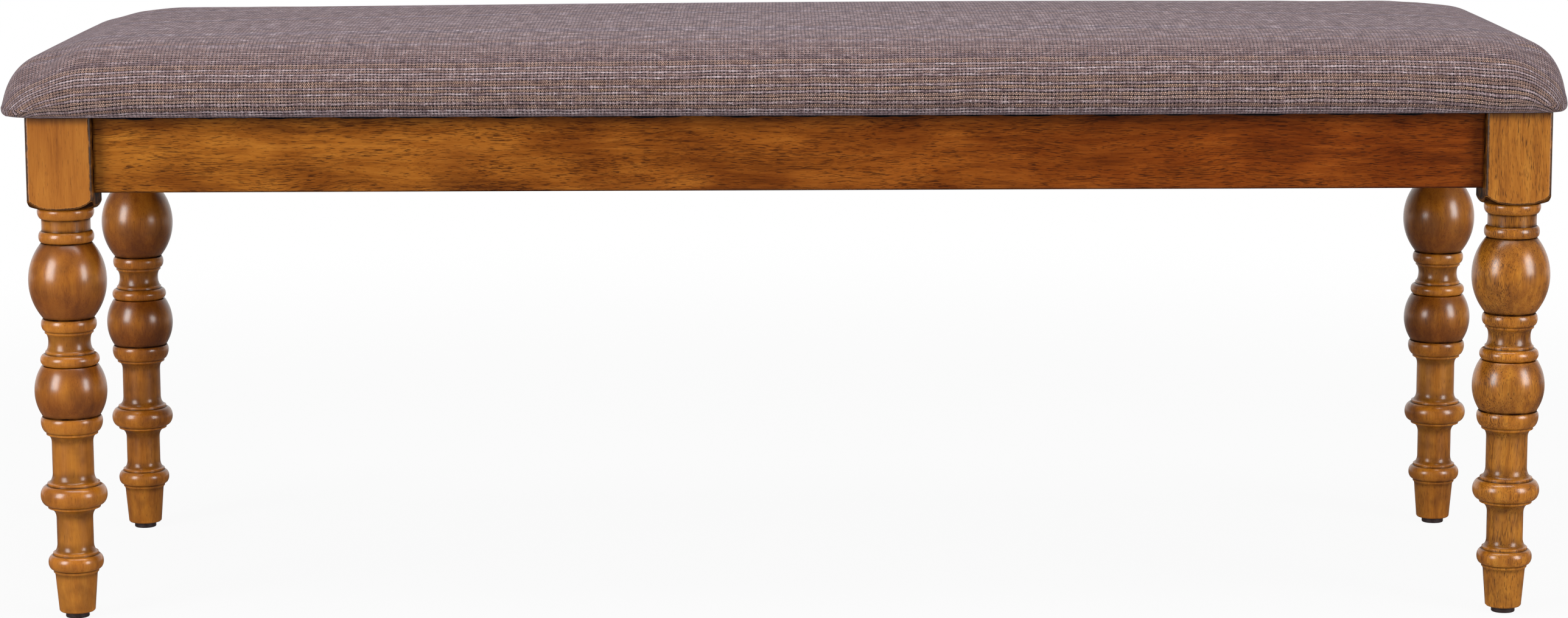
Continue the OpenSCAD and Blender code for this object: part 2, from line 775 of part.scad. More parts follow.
// The cover is one cloth that wraps the foam and is turned under the edge of the board
module seat_cover() {
    hem_l = seat_half_l - hem_w;
    hem_d = seat_half_d - hem_w;
    hem_r = seat_round - hem_w;
    inner = concat(
        top_rings(cover_t),
        [tuck_rings(cover_t)[0]],
        [ring(seat_half_l - cover_t - seat_tuck, seat_half_d - cover_t - seat_tuck,
              seat_round - cover_t - seat_tuck, board_z)]);
    color(CLOTH)
        skin(concat(
            top_rings(0),
            [tuck_rings(0)[0]],
            [ring(seat_half_l - seat_tuck, seat_half_d - seat_tuck, seat_round - seat_tuck, seat_z)],
            [ring(hem_l, hem_d, hem_r, seat_z)],
            [ring(hem_l, hem_d, hem_r, board_z)],
            [for (i = [len(inner) - 1:-1:0]) inner[i]]));
}

module dust_cover() {
    half_l = leg_spacing_x / 2 + half_block + dust_cover_margin;
    half_d = leg_spacing_y / 2 + half_block + dust_cover_margin;
    color(BLACK)
        difference() {
            translate([0, 0, frame_h])
                linear_extrude(dust_cover_t)
                    polygon(outline(half_l, half_d, dust_cover_corner_r));
            board_screw_holes(seat_screw_d + 2 * through_fit, dust_cover_t + 2 * PAST);
        }
}

leg(-1, -1);  // leg_front_left
leg(1, -1);  // leg_front_right
leg(-1, 1);  // leg_back_left
leg(1, 1);  // leg_back_right
long_rail(-1);  // front_rail
long_rail(1);  // back_rail
end_rail(-1);  // left_end_rail
end_rail(1);  // right_end_rail
centre_rail();
corner_block(-1, -1);  // corner_block_front_left
corner_block(1, -1);  // corner_block_front_right
corner_block(-1, 1);  // corner_block_back_left
corner_block(1, 1);  // corner_block_back_right
hanger_bolts();
flat_washers();
lock_washers();
hex_nuts();
corner_block_screws();
seat_screws();
centre_rail_dowels();
glide(-1, -1);  // glide_front_left
glide(1, -1);  // glide_front_right
glide(-1, 1);  // glide_back_left
glide(1, 1);  // glide_back_right
glide_nails();
seat_board();
foam_pad();
seat_cover();
dust_cover();
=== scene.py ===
"""Looks of an upholstered dining bench: turned legs, rails, a woven seat and what holds them together.

Lengths are in metres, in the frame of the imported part: +X along the bench, the front is -Y, +Z up.
"""
import math
from functools import partialmethod

import bpy
import numpy as np
from mathutils import Matrix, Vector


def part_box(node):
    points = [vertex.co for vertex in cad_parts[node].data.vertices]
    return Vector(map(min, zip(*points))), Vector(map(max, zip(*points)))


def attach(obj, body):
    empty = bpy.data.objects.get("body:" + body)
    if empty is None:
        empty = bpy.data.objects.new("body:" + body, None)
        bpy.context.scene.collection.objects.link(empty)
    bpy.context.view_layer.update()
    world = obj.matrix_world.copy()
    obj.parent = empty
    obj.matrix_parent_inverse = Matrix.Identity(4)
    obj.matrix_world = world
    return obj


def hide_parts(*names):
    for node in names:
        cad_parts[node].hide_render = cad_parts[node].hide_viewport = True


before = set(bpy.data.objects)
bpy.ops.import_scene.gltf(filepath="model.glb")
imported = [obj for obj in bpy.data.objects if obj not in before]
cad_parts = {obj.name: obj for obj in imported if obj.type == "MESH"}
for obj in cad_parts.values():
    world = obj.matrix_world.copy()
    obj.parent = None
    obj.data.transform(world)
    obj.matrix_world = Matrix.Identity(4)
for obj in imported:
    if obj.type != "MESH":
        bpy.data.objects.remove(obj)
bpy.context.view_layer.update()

MM = 0.001

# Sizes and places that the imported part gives
LEG_LOW, LEG_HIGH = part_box("leg_front_left")
FOOT_BOTTOM = LEG_LOW.z
FRAME_TOP = LEG_HIGH.z
LEG_X = -(LEG_LOW.x + LEG_HIGH.x) / 2
LEG_Y = -(LEG_LOW.y + LEG_HIGH.y) / 2
RAIL_LOW, RAIL_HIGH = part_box("front_rail")
RAIL_END = RAIL_HIGH.x
BLOCK_HALF = LEG_X - RAIL_END
END_RAIL_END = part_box("left_end_rail")[1].y
SEAT_LOW, SEAT_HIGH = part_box("seat_cover")
BOARD_LOW, BOARD_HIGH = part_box("seat_board")
DUST_LOW, DUST_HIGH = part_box("dust_cover")

# The turning of a leg from the foot up, in millimetres: kind, height, radius where it starts, radius
# where it ends and, on beads and bulbs, greatest radius
TURNING = [
    ("straight", 1.0, 13.8, 14.8),
    ("straight", 29.0, 14.8, 17.2),
    ("cove", 3.5, 17.2, 18.7),
    ("straight", 2.2, 18.7, 18.7),
    ("bead", 12.5, 18.7, 18.7, 22.7),
    ("straight", 2.2, 18.7, 18.7),
    ("cove", 7.0, 18.7, 15.0),
    ("straight", 22.0, 15.0, 15.0),
    ("cove", 8.4, 15.0, 21.6),
    ("straight", 2.2, 21.6, 21.6),
    ("bead", 17.0, 21.6, 21.6, 27.4),
    ("straight", 2.2, 21.6, 21.6),
    ("cove", 8.0, 21.6, 17.0),
    ("straight", 26.0, 17.0, 17.0),
    ("cove", 6.5, 17.0, 21.2),
    ("straight", 2.2, 21.2, 21.2),
    ("bead", 13.0, 21.2, 23.3, 25.2),
    ("bulb", 42.4, 23.3, 23.3, 29.7),
    ("bead", 10.0, 20.0, 20.0, 24.2),
    ("straight", 2.2, 20.0, 20.0),
    ("cove", 8.4, 20.0, 17.3),
    ("cove", 6.5, 17.3, 20.0),
    ("straight", 2.2, 20.0, 20.0),
    ("bead", 10.0, 20.0, 20.5, 22.7),
    ("bulb", 63.0, 20.5, 20.5, 32.0),
    ("bead", 9.6, 20.0, 20.0, 22.7),
    ("straight", 10.0, 20.0, 20.0),
    ("bead", 9.0, 20.0, 21.6, 23.1),
]
SHOULDER_GROOVE_R = 21.6 * MM
SHOULDER_REACH = 18 * MM
SHOULDER_RISE = 17 * MM
# The shoulder's curve ends this far inside the block's sides, which start this far above it
ARRIS = 0.5 * MM
BLOCK_EDGE_R = 3 * MM
LEG_FLAT_W = 13 * MM
# How much dark glaze and painted shade lie on the shoulder under the block and on the block's sides beside
# the rails
SHOULDER_GLAZE_AND_SHADE = 0.75
JOINT_GLAZE_AND_SHADE = 0.85

# The seat's form, a little uneven as in the photograph: it lies to the left, and is lower and rounder
# there than at the right end
SEAT_SHIFT = -3.8 * MM
SEAT_HALF_L = (SEAT_HIGH.x - SEAT_LOW.x) / 2
SEAT_HALF_D = (SEAT_HIGH.y - SEAT_LOW.y) / 2
SEAT_EDGE_H = BOARD_HIGH.z - SEAT_LOW.z
RISE_LEFT = 45.2 * MM
RISE_RIGHT = 47.4 * MM
ROUND_LEFT = 64 * MM
ROUND_RIGHT = 54 * MM
ROUND_DEPTH = 58 * MM
SIDE_POWER_LEFT = 2.05
SIDE_POWER_RIGHT = 2.35
SEAT_CROWN = 9 * MM
SEAT_TUCK = 5 * MM
SEAT_ROLL = 4 * MM
# The top dips a little near the ends: how much, how far from the end and over what reach
DIP_LEFT = 4.2 * MM
DIP_RIGHT = 1.5 * MM
DIP_PLACE = 42 * MM
DIP_REACH = 20 * MM
HEM_W = 42 * MM
# Corners seen from above are rounded squares of this power on top and at the lower edge, and they fall
CORNER_POWER_TOP = 3.0
CORNER_POWER_EDGE = 4.6
CORNER_FALL = 12 * MM
# How the threads of the cloth turn into a corner, and how far they are pulled down before it
THREAD_POWER = 4.0
THREAD_PULL = 5 * MM
THREAD_PULL_REACH = 42 * MM


# Meshes

SMOOTH_BELOW = math.radians(40)


def add_object(name, data):
    """A new object of the scene, at the origin."""
    made = bpy.data.objects.new(name, data)
    bpy.context.scene.collection.objects.link(made)
    return made


def mesh_object(name, points, faces):
    """A mesh object at the origin from an array of points and a list of faces, smooth except where
    two faces meet at more than an angle."""
    mesh = bpy.data.meshes.new(name)
    mesh.from_pydata(points.reshape(-1, 3).tolist(), [], faces)
    mesh.update()
    mesh.shade_smooth()
    mesh.set_sharp_from_angle(angle=SMOOTH_BELOW)
    return add_object(name, mesh)


def between(rows, columns, around):
    """The quads between neighbouring rows and columns of a grid of points numbered row by row. With
    around, the last column joins the first."""
    row = np.arange(rows - 1)[:, None] * columns
    column = np.arange(columns if around else columns - 1)[None, :]
    after = (column + 1) % columns
    quads = np.stack([row + column, row + after, row + columns + after, row + columns + column], axis=-1)
    return quads.reshape(-1, 4).tolist()


def values_of(items, name, width=1, kind=float):
    """A value of all points, edges or corners of a mesh as one flat array."""
    values = np.empty(width * len(items), kind)
    items.foreach_get(name, values)
    return values


def give_values(piece, name, values):
    """Stores one number for each point of a piece, which its material reads."""
    attribute = piece.data.attributes.new(name, "FLOAT", "POINT")
    attribute.data.foreach_set("value", np.asarray(values, np.float32).ravel())


def settle(piece, material, slot, *nodes):
    """Finishes a piece: its material, the body it belongs to and the nodes it stands for. The slot is not
    used.
    """
    piece.data.materials.clear()
    piece.data.materials.append(material)
    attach(piece, "root")
    if nodes:
        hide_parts(*nodes)


def walk(x, y):
    """How far each point of a line lies from its first one, along the line."""
    return np.concatenate([[0], np.cumsum(np.hypot(np.diff(x), np.diff(y)))])


def turning(angle):
    """What rows of X and Y are multiplied by to turn them counter-clockwise."""
    return np.array([[math.cos(angle), math.sin(angle)], [-math.sin(angle), math.cos(angle)]])


def curve_power(angle, power):
    """Points of a rounded square |x|^power + |y|^power = 1 in the given directions."""
    size = (np.abs(np.cos(angle)) ** power + np.abs(np.sin(angle)) ** power) ** (-1 / power)
    return size * np.cos(angle), size * np.sin(angle)


# Turned legs

def stretch_points(kind, height, start, end, top=0, count=60):
    """Radius and height along one stretch of the turning. A cove is a quarter of an ellipse, along the
    leg at its thin end. A bead is half an ellipse on the line between its ends, and a bulb an arc of a
    circle on that line."""
    share = np.linspace(0, 1, count)
    rise = top - (start + end) / 2
    if kind == "cove":
        out, along = 1 - np.cos(share * math.pi / 2), np.sin(share * math.pi / 2)
        if end < start:
            out, along = along, out
        return start + (end - start) * out, height * along
    if kind == "bead":
        along = (1 - np.cos(share * math.pi)) / 2
        return start + (end - start) * along + rise * np.sin(share * math.pi), height * along
    if kind == "bulb":
        big = ((height / 2) ** 2 + rise ** 2) / (2 * rise)
        angle = (2 * share - 1) * math.asin(height / 2 / big)
        return start + big * np.cos(angle) - (big - rise), height / 2 + big * np.sin(angle)
    return start + (end - start) * share, height * share


def softened(line, reach):
    """A line whose points are averaged with their neighbours by a bell curve, reach steps wide. The line
    is carried on past its ends, turned half round, so that they stay where they are."""
    window = np.arange(-4 * reach, 4 * reach + 1)
    weight = np.exp(-0.5 * (window / reach) ** 2)
    pad = 4 * reach
    longer = np.concatenate([2 * line[0] - line[pad:0:-1], line, 2 * line[-1] - line[-2:-pad - 2:-1]])
    return np.convolve(longer, weight / weight.sum(), mode="valid")


def leg_profile():
    """Radius, height, glaze and toner of the rings of the turning, both with painted light and shade. The
    stretches are joined, walked in equal steps, and their sharp corners are softened a little, as
    lacquer does. Glaze is how far a point lies inside the outline's mean under a narrow bell curve, and
    more weakly under a broad one: dark glaze in the hollows with painted shade there too, and paler
    crests where it is below zero. Toner is 1 on a bulb, less a bell curve above its middle: toner
    darkens the bulbs, the lighter band above the middle is painted light, and the darker ends are
    painted shade. The rings lie closer where the outline bends."""
    radius, height, toner_and_shade, base = [], [], [], FOOT_BOTTOM / MM
    for kind, tall, *radii in TURNING:
        r, h = stretch_points(kind, tall, *radii)
        radius.append(r)
        height.append(base + h)
        toner_and_shade.append((kind == "bulb") * (1 - 0.75 * np.exp(-((h / tall - 0.62) / 0.24) ** 2)))
        base += tall
    radius, height, toner_and_shade = np.concatenate(radius), np.concatenate(height), np.concatenate(toner_and_shade)
    walked = walk(radius, height)
    step = 0.1
    place = np.arange(0, walked[-1], step)
    toner_and_shade = softened(np.interp(place, walked, toner_and_shade), 20)
    radius, height = np.interp(place, walked, radius), np.interp(place, walked, height)
    radius, height = softened(radius, 3), softened(height, 3)
    narrow = softened(radius, 16) - radius
    broad = softened(radius, 70) - radius
    glaze_and_shade = np.clip(narrow / 0.8, -0.6, 1) + 0.35 * np.clip(broad / 3.0, -0.4, 1)
    bend = np.abs(np.gradient(np.unwrap(np.arctan2(np.gradient(height), np.gradient(radius)))))
    progress = np.cumsum(step / 2.6 + bend / math.radians(11))
    wanted = np.linspace(progress[0], progress[-1], int(progress[-1]))
    rings = np.interp(wanted, progress, place)
    return [np.interp(rings, place, values) for values in (radius * MM, height * MM, glaze_and_shade, toner_and_shade)]


def block_outline():
    """Points round the square block, counter-clockwise from the -Y end of its +X face, closer
    together near its rounded edges: positions on each face by a power law, then an arc."""
    flat = BLOCK_HALF - BLOCK_EDGE_R
    flat_end = (BLOCK_HALF * math.sqrt(2) - LEG_FLAT_W / 2) * math.sqrt(2) - BLOCK_HALF
    half = flat * (1 - (1 - np.linspace(0, 1, 13)) ** 1.7)
    half[np.argmin(np.abs(half - flat_end))] = flat_end
    across = np.concatenate([-half[:0:-1], half])
    arc = np.radians(np.linspace(0, 90, 7))[1:-1]
    side = np.concatenate([
        np.stack([np.full_like(across, BLOCK_HALF), across], axis=1),
        np.stack([flat + BLOCK_EDGE_R * np.cos(arc), flat + BLOCK_EDGE_R * np.sin(arc)], axis=1)])
    return np.concatenate([side @ turning(angle) for angle in np.radians([0, 90, 180, 270])])


def leg_grid():
    """The leg as rings of points round the Z axis, with its glaze and toner, both with painted light and
    shade, and the block's worn edges, which carry painted shade and a painted highlight too. Below the
    shoulder a ring is a circle. On the shoulder each column swells out as a quarter of an ellipse until
    it reaches the block's outline, and from there it runs straight up."""
    outline = block_outline()
    angle = np.arctan2(outline[:, 1], outline[:, 0])
    flat_d = BLOCK_HALF * math.sqrt(2) - LEG_FLAT_W / 2
    across = np.cos(angle - math.pi / 4)
    reach = np.hypot(outline[:, 0], outline[:, 1])
    reach = np.where(across > 0.5, np.minimum(reach, flat_d / np.maximum(across, 0.5)), reach)

    radius, height, glaze_and_shade, toner_and_shade = leg_profile()
    around = np.ones_like(angle)
    rings = [(radius[:, None] * around, height[:, None] * around)]
    glaze_and_shade_rings = [glaze_and_shade[:, None] * around]

    shoulder_z = height[-1]
    swell = np.arcsin((reach - ARRIS - SHOULDER_GROOVE_R) / SHOULDER_REACH)
    turn = swell * np.linspace(0, 1, 12)[1:, None]
    rings.append((SHOULDER_GROOVE_R + SHOULDER_REACH * np.sin(turn),
                  shoulder_z + SHOULDER_RISE * (1 - np.cos(turn))))
    # The shoulder under the block: dark glaze and painted shade
    glaze_and_shade_rings.append(np.full_like(turn, SHOULDER_GLAZE_AND_SHADE))

    full = np.arcsin((reach - SHOULDER_GROOVE_R) / SHOULDER_REACH)
    arris = shoulder_z + SHOULDER_RISE * (1 - np.cos(full)) + ARRIS
    up = np.array([0, 0.014, 0.035, 0.06, 0.12, 0.3, 0.5, 0.7, 0.86, 0.95, 0.985, 1])[:, None]
    top = arris + (FRAME_TOP - arris) * up
    rings.append((reach * np.ones_like(up), top))
    x, y = reach * np.cos(angle), reach * np.sin(angle)
    # The block's sides beside the rails: dark glaze and painted shade
    beside_rail = np.maximum(x, y) > BLOCK_HALF - 0.3 * MM
    glaze_and_shade_rings.append(JOINT_GLAZE_AND_SHADE * beside_rail + 0 * top)

    radius = np.concatenate([r for r, _ in rings])
    height = np.concatenate([h for _, h in rings])
    points = np.stack([radius * np.cos(angle), radius * np.sin(angle), height], axis=-1)

    # Worn edges of the block, which also carry painted shade and a painted highlight
    from_edge = (BLOCK_HALF - BLOCK_EDGE_R - np.minimum(np.abs(outline[:, 0]), np.abs(outline[:, 1]))) / MM
    worn_and_shaded = np.clip(1 - (from_edge + 1.4) / 3.2, 0, 1)
    over = np.clip((height - arris) / MM, -20, 400)
    low = np.where(over >= 0, np.clip(1 - over / 3.0, 0, 1), np.clip(1 + over / 1.5, 0, 1))
    turned = np.arange(len(height))[:, None] < len(glaze_and_shade_rings[0])
    edge = np.where(turned, 0, np.maximum(np.where(over >= 0, worn_and_shaded, worn_and_shaded * low), low))
    toner_and_shade = np.concatenate([toner_and_shade, np.zeros(len(height) - len(toner_and_shade))])[:, None] * around
    return points, np.concatenate(glaze_and_shade_rings), toner_and_shade, edge


def make_legs(materials):
    """The four legs, the same grid turned so that the flat inner edge of each block faces the middle."""
    points, glaze_and_shade, toner_and_shade, edge = leg_grid()
    rows, columns = glaze_and_shade.shape
    faces = between(rows, columns, around=True)
    faces.append(list(range(columns - 1, -1, -1)))
    faces.append(list(range((rows - 1) * columns, rows * columns)))
    places = {"front_left": (-1, -1, 0), "front_right": (1, -1, 90),
              "back_right": (1, 1, 180), "back_left": (-1, 1, 270)}
    for name, (side_x, side_y, degrees) in places.items():
        turn = np.array(Matrix.Rotation(math.radians(degrees), 3, "Z"))
        at = points @ turn.T + [side_x * LEG_X, side_y * LEG_Y, 0]
        leg = mesh_object("turned_leg_" + name, at, faces)
        give_values(leg, "glaze_and_shade", glaze_and_shade)
        give_values(leg, "toner_and_shade", toner_and_shade)
        give_values(leg, "edge", edge)
        settle(leg, materials[name], "leg_wood", "leg_" + name)


# Seat cushion

def rightward(along):
    """How far to the right a place along the seat is, from 0 at the left end to 1, eased at both."""
    share = np.clip(along / 1.6 + 0.5, 0, 1)
    return share * share * (3 - 2 * share)


def cushion_grid(core_x=132, core_y=30, corner=14):
    """The rounded upper surface of the seat as a grid that is straight in the middle and bends round
    the corners. Down the sides the surface follows w^p + h^p = 1, where w is the share of the
    rounding's reach, h the share of its height and p a power that grows from the left end to the
    right. In a corner the grid's squares become the rounded squares of w, squarer towards the lower
    edge. Cornered is 0 beside a corner and 1 on its diagonal."""
    def line(core):
        straight = np.concatenate([-np.ones(corner), np.linspace(-1, 1, core + 1), np.ones(corner)])
        step = np.concatenate([-np.arange(corner, 0, -1), np.zeros(core + 1), np.arange(1, corner + 1)])
        return straight, step
    along, step_x = line(core_x)
    deep, step_y = line(core_y)
    along, deep = np.meshgrid(along, deep, indexing="ij")
    step_x, step_y = np.meshgrid(step_x, step_y, indexing="ij")
    far, near = np.maximum(abs(step_x), abs(step_y)), np.minimum(abs(step_x), abs(step_y))
    lean = math.pi / 4 * near / np.maximum(far, 1)
    direction = np.where(abs(step_x) >= abs(step_y), lean, math.pi / 2 - lean)
    power = SIDE_POWER_LEFT + (SIDE_POWER_RIGHT - SIDE_POWER_LEFT) * rightward(along)
    out, up = curve_power(math.pi / 2 * (1 - far / corner), power)
    out = np.where(far == 0, 0, out)
    squarer = CORNER_POWER_TOP + (CORNER_POWER_EDGE - CORNER_POWER_TOP) * (far / corner) ** 4
    share_x, share_y = curve_power(direction, squarer)
    cornered = (share_x * share_y * 4 ** (1 / squarer)) ** 2
    share_x = np.where(step_x == 0, 0, share_x) * np.sign(step_x)
    share_y = np.where(step_y == 0, 0, share_y) * np.sign(step_y)
    cornered = np.where((step_x == 0) | (step_y == 0), 0, cornered)
    return {"along": along, "deep": deep, "out": out, "up": up, "share_x": share_x, "share_y": share_y,
            "cornered": cornered}


def cushion_place(grid, out, inset=0.0, rolled=0.0):
    """X and Y of points whose side has swelled out by a share and then drawn in by an inset, and at the
    front and back by what has rolled under too. The right end stands nearest to the board, so it draws
    in less."""
    turn_x = np.where(grid["along"] < 0, ROUND_LEFT, ROUND_RIGHT)
    middle = (ROUND_LEFT - ROUND_RIGHT) / 2
    core = SEAT_HALF_L - (ROUND_LEFT + ROUND_RIGHT) / 2
    less = np.maximum(0.4 * np.minimum(inset, SEAT_TUCK), inset - 0.6 * SEAT_TUCK)
    inset_x = np.where(grid["along"] < 0, inset, less)
    x = SEAT_SHIFT + middle + core * grid["along"] + (turn_x * out - inset_x) * grid["share_x"]
    y = (SEAT_HALF_D - ROUND_DEPTH) * grid["deep"]
    y = y + (ROUND_DEPTH * out - inset - rolled) * grid["share_y"]
    return x, y


def thread_lines(grid, x):
    """Where each point lies on the flat cloth, in metres along and across the threads. The cloth runs
    straight over the top and down each side by the length of the side's curve, and near the ends of the
    bench it is pulled down, less and less with the distance from the end."""
    steps = np.linspace(0, 1, 400)
    w, h = curve_power(math.pi / 2 * (1 - steps), SIDE_POWER_LEFT)
    down = walk(ROUND_DEPTH * w, RISE_LEFT * h)
    fallen = np.interp(np.clip(grid["out"], 0, 1), w, down) + grid.get("below", 0)
    big = lambda share: (1 - np.minimum(np.abs(share), 1) ** THREAD_POWER) ** (1 / THREAD_POWER)
    turned_x = np.abs(grid["share_x"])
    turned_y = np.where(grid["share_x"] == 0, np.abs(grid["share_y"]), big(grid["share_x"]))
    from_end = (SEAT_HIGH.x - ROUND_DEPTH) - np.abs(x - SEAT_SHIFT)
    pull = THREAD_PULL * np.exp(-np.maximum(from_end, 0) / THREAD_PULL_REACH) * fallen / down[-1]
    flat_x, _ = cushion_place(grid, 0.0)
    u = np.where(grid["share_x"] == 0, x, flat_x + np.sign(grid["share_x"]) * fallen * turned_x)
    v = (SEAT_HALF_D - ROUND_DEPTH) * grid["deep"] + np.sign(grid["share_y"]) * (fallen * turned_y - pull)
    return u, v


def border_of(shape):
    """Numbers of the points round the border of a grid, counter-clockwise seen from above."""
    numbers = np.arange(shape[0] * shape[1]).reshape(shape)
    return np.concatenate([numbers[:-1, 0], numbers[-1, :-1], numbers[:0:-1, -1], numbers[0, :0:-1]])


def make_cushion(material):
    """Foam and cover as one closed piece: the rounded top and sides, the edge that rolls under the
    board, the hem below it and the pocket that holds the board. The crown falls off as a parabola along
    the length and along the depth, the rise grows a little from the left end to the right, a bell curve
    lowers the top near each end, and the corners fall by the square of the product of their shares."""
    grid = cushion_grid()
    x, y = cushion_place(grid, grid["out"])
    widest = SEAT_LOW.z + SEAT_EDGE_H
    crown = SEAT_CROWN * (1 - ((x - SEAT_SHIFT) / SEAT_HALF_L) ** 2) * (1 - (y / SEAT_HALF_D) ** 2)
    rise = RISE_LEFT + (RISE_RIGHT - RISE_LEFT) * rightward(grid["along"])
    from_end = SEAT_HALF_L - np.abs(x - SEAT_SHIFT)
    dip = np.where(x < 0, DIP_LEFT, DIP_RIGHT) * np.exp(-((from_end - DIP_PLACE) / DIP_REACH) ** 2)
    z = widest + (rise - dip) * grid["up"] + crown - CORNER_FALL * grid["cornered"] * grid["out"]
    u, v = thread_lines(grid, x)

    border = border_of(x.shape)
    rim = {key: values.ravel()[border] for key, values in grid.items()}
    closed = np.append(border, border[0])
    walked = walk(x.ravel()[closed], y.ravel()[closed])[:-1]
    ripple = 0.45 * np.sin(walked / (5.3 * MM)) + 0.35 * np.sin(walked / (8.9 * MM) + 2.1)
    ripple = ripple * MM

    rings = [np.stack([x, y, z], axis=-1).reshape(-1, 3)]
    threads = [np.stack([u, v], axis=-1).reshape(-1, 2)]

    def add_ring(inset, height, below, rolled=0.0):
        ring_x, ring_y = cushion_place(rim, 1.0, inset, rolled)
        rings.append(np.stack([ring_x, ring_y, height + 0 * ring_x], axis=-1))
        ring_u, ring_v = thread_lines({**rim, "below": below}, ring_x)
        threads.append(np.stack([ring_u, ring_v], axis=-1))

    edge_length = SEAT_EDGE_H + 0.4 * SEAT_TUCK
    for angle in np.radians([18, 36, 54, 72, 90]):
        drawn = SEAT_TUCK * (1 - math.cos(angle))
        add_ring(drawn + ripple * math.sin(angle), widest - SEAT_EDGE_H * math.sin(angle),
                 edge_length * angle / (math.pi / 2), rolled=SEAT_ROLL * (1 - math.cos(angle)))
    for inset in (10 * MM, 24 * MM, HEM_W):
        add_ring(inset, SEAT_LOW.z, edge_length + inset)
    pocket = len(rings)
    wall = SEAT_HALF_L + SEAT_SHIFT - BOARD_HIGH.x + 0.6 * SEAT_TUCK - 0.2 * MM
    add_ring(HEM_W, BOARD_LOW.z, edge_length + HEM_W)
    add_ring(wall, BOARD_LOW.z, edge_length + HEM_W)
    add_ring(wall, BOARD_HIGH.z + 0.1 * MM, edge_length + HEM_W)

    loop = len(border)
    inner = x.size
    faces = np.array(between(*x.shape, around=False))[:, ::-1].tolist()
    first = inner + np.arange(loop)
    after = np.roll(np.arange(loop), -1)
    faces += np.stack([border, first, first[after], border[after]], axis=-1).tolist()
    lower = np.array(between(len(rings) - 1, loop, around=True)) + inner
    faces += lower[:, ::-1].tolist()
    faces.append(list(range(inner + (len(rings) - 1) * loop - 1, inner + (len(rings) - 2) * loop - 1, -1)))

    points = np.concatenate(rings)
    cushion = mesh_object("seat_cushion", points, faces)
    lay_threads(cushion, np.concatenate(threads))
    stiff_from = inner + (pocket - 1) * loop
    keep_corners(cushion, stiff_from)
    fill_out(cushion, np.concatenate([border, np.arange(inner, len(points))]))
    subdivision = cushion.modifiers.new("finer", "SUBSURF")
    subdivision.levels = subdivision.render_levels = 1
    subdivision.use_limit_surface = False
    settle(cushion, material, "cover_fabric", "seat_cover", "foam_pad")


def lay_threads(piece, flat):
    """Gives a piece its place on the flat cloth as a UV map, in metres."""
    corners = values_of(piece.data.loops, "vertex_index", kind=np.int32)
    layer = piece.data.uv_layers.new(name="threads")
    layer.data.foreach_set("uv", flat[corners].astype(np.float32).ravel())


def keep_corners(piece, first_point):
    """Keeps the edges between points from a number on sharp when the piece is made finer."""
    ends = values_of(piece.data.edges, "vertices", width=2, kind=np.int32)
    sharp = ends.reshape(-1, 2).min(axis=1) >= first_point
    crease = piece.data.attributes.new("crease_edge", "FLOAT", "EDGE")
    crease.data.foreach_set("value", sharp.astype(np.float32))


def fill_out(piece, held, most=0.8 * MM, last_frame=20):
    """Lets the cover swell like cloth over foam, with some points held, and caps how far a point
    moves."""
    group = piece.vertex_groups.new(name="stapled")
    group.add(held.tolist(), 1.0, "REPLACE")
    cloth = piece.modifiers.new("cover", "CLOTH")
    for name, value in {"quality": 6, "mass": 0.35, "tension_stiffness": 12, "compression_stiffness": 12,
                        "shear_stiffness": 6, "bending_stiffness": 2, "use_pressure": True,
                        "uniform_pressure_force": 4, "vertex_group_mass": group.name}.items():
        setattr(cloth.settings, name, value)
    cloth.settings.effector_weights.gravity = 0
    cloth.collision_settings.use_collision = False
    cloth.point_cache.frame_end = last_frame
    scene = bpy.context.scene
    for number in range(1, last_frame + 1):
        scene.frame_set(number)
    rest = values_of(piece.data.vertices, "co", width=3)
    swollen = piece.evaluated_get(bpy.context.evaluated_depsgraph_get())
    moved = values_of(swollen.data.vertices, "co", width=3)
    piece.modifiers.remove(cloth)
    piece.vertex_groups.remove(group)
    scene.frame_set(1)
    shift = (moved - rest).reshape(-1, 3)
    length = np.linalg.norm(shift, axis=1, keepdims=True)
    shift *= np.minimum(1, most / np.maximum(length, 1e-9))
    piece.data.vertices.foreach_set("co", rest + shift.ravel())
    piece.data.update()


# Dust cover and staples

SHEET_THICK = 0.4 * MM


def rounded_outline(half_l, half_d, corner, spacing):
    """Points and inward directions round a rectangle with round corners, counter-clockwise, in about
    equal steps."""
    line_x = np.linspace(-(half_l - corner), half_l - corner, int(2 * half_l / spacing))
    line_y = np.linspace(-(half_d - corner), half_d - corner, int(2 * half_d / spacing))
    turn = np.radians(np.linspace(0, 90, int(corner * 1.6 / spacing) + 2))[1:-1]
    points, inward = [], []
    for quarter, (line, far, end) in enumerate(
            [(line_x, half_d, half_l), (line_y, half_l, half_d)] * 2):
        side = np.stack([line, np.full_like(line, -far)], axis=1)
        arc = np.stack([end - corner + corner * np.sin(turn), -far + corner - corner * np.cos(turn)], axis=1)
        into = np.concatenate([np.tile([0.0, 1.0], (len(line), 1)),
                               np.stack([-np.sin(turn), np.cos(turn)], axis=1)])
        spin = turning(quarter * math.pi / 2)
        points.append(np.concatenate([side, arc]) @ spin)
        inward.append(into @ spin)
    return np.concatenate(points), np.concatenate(inward)


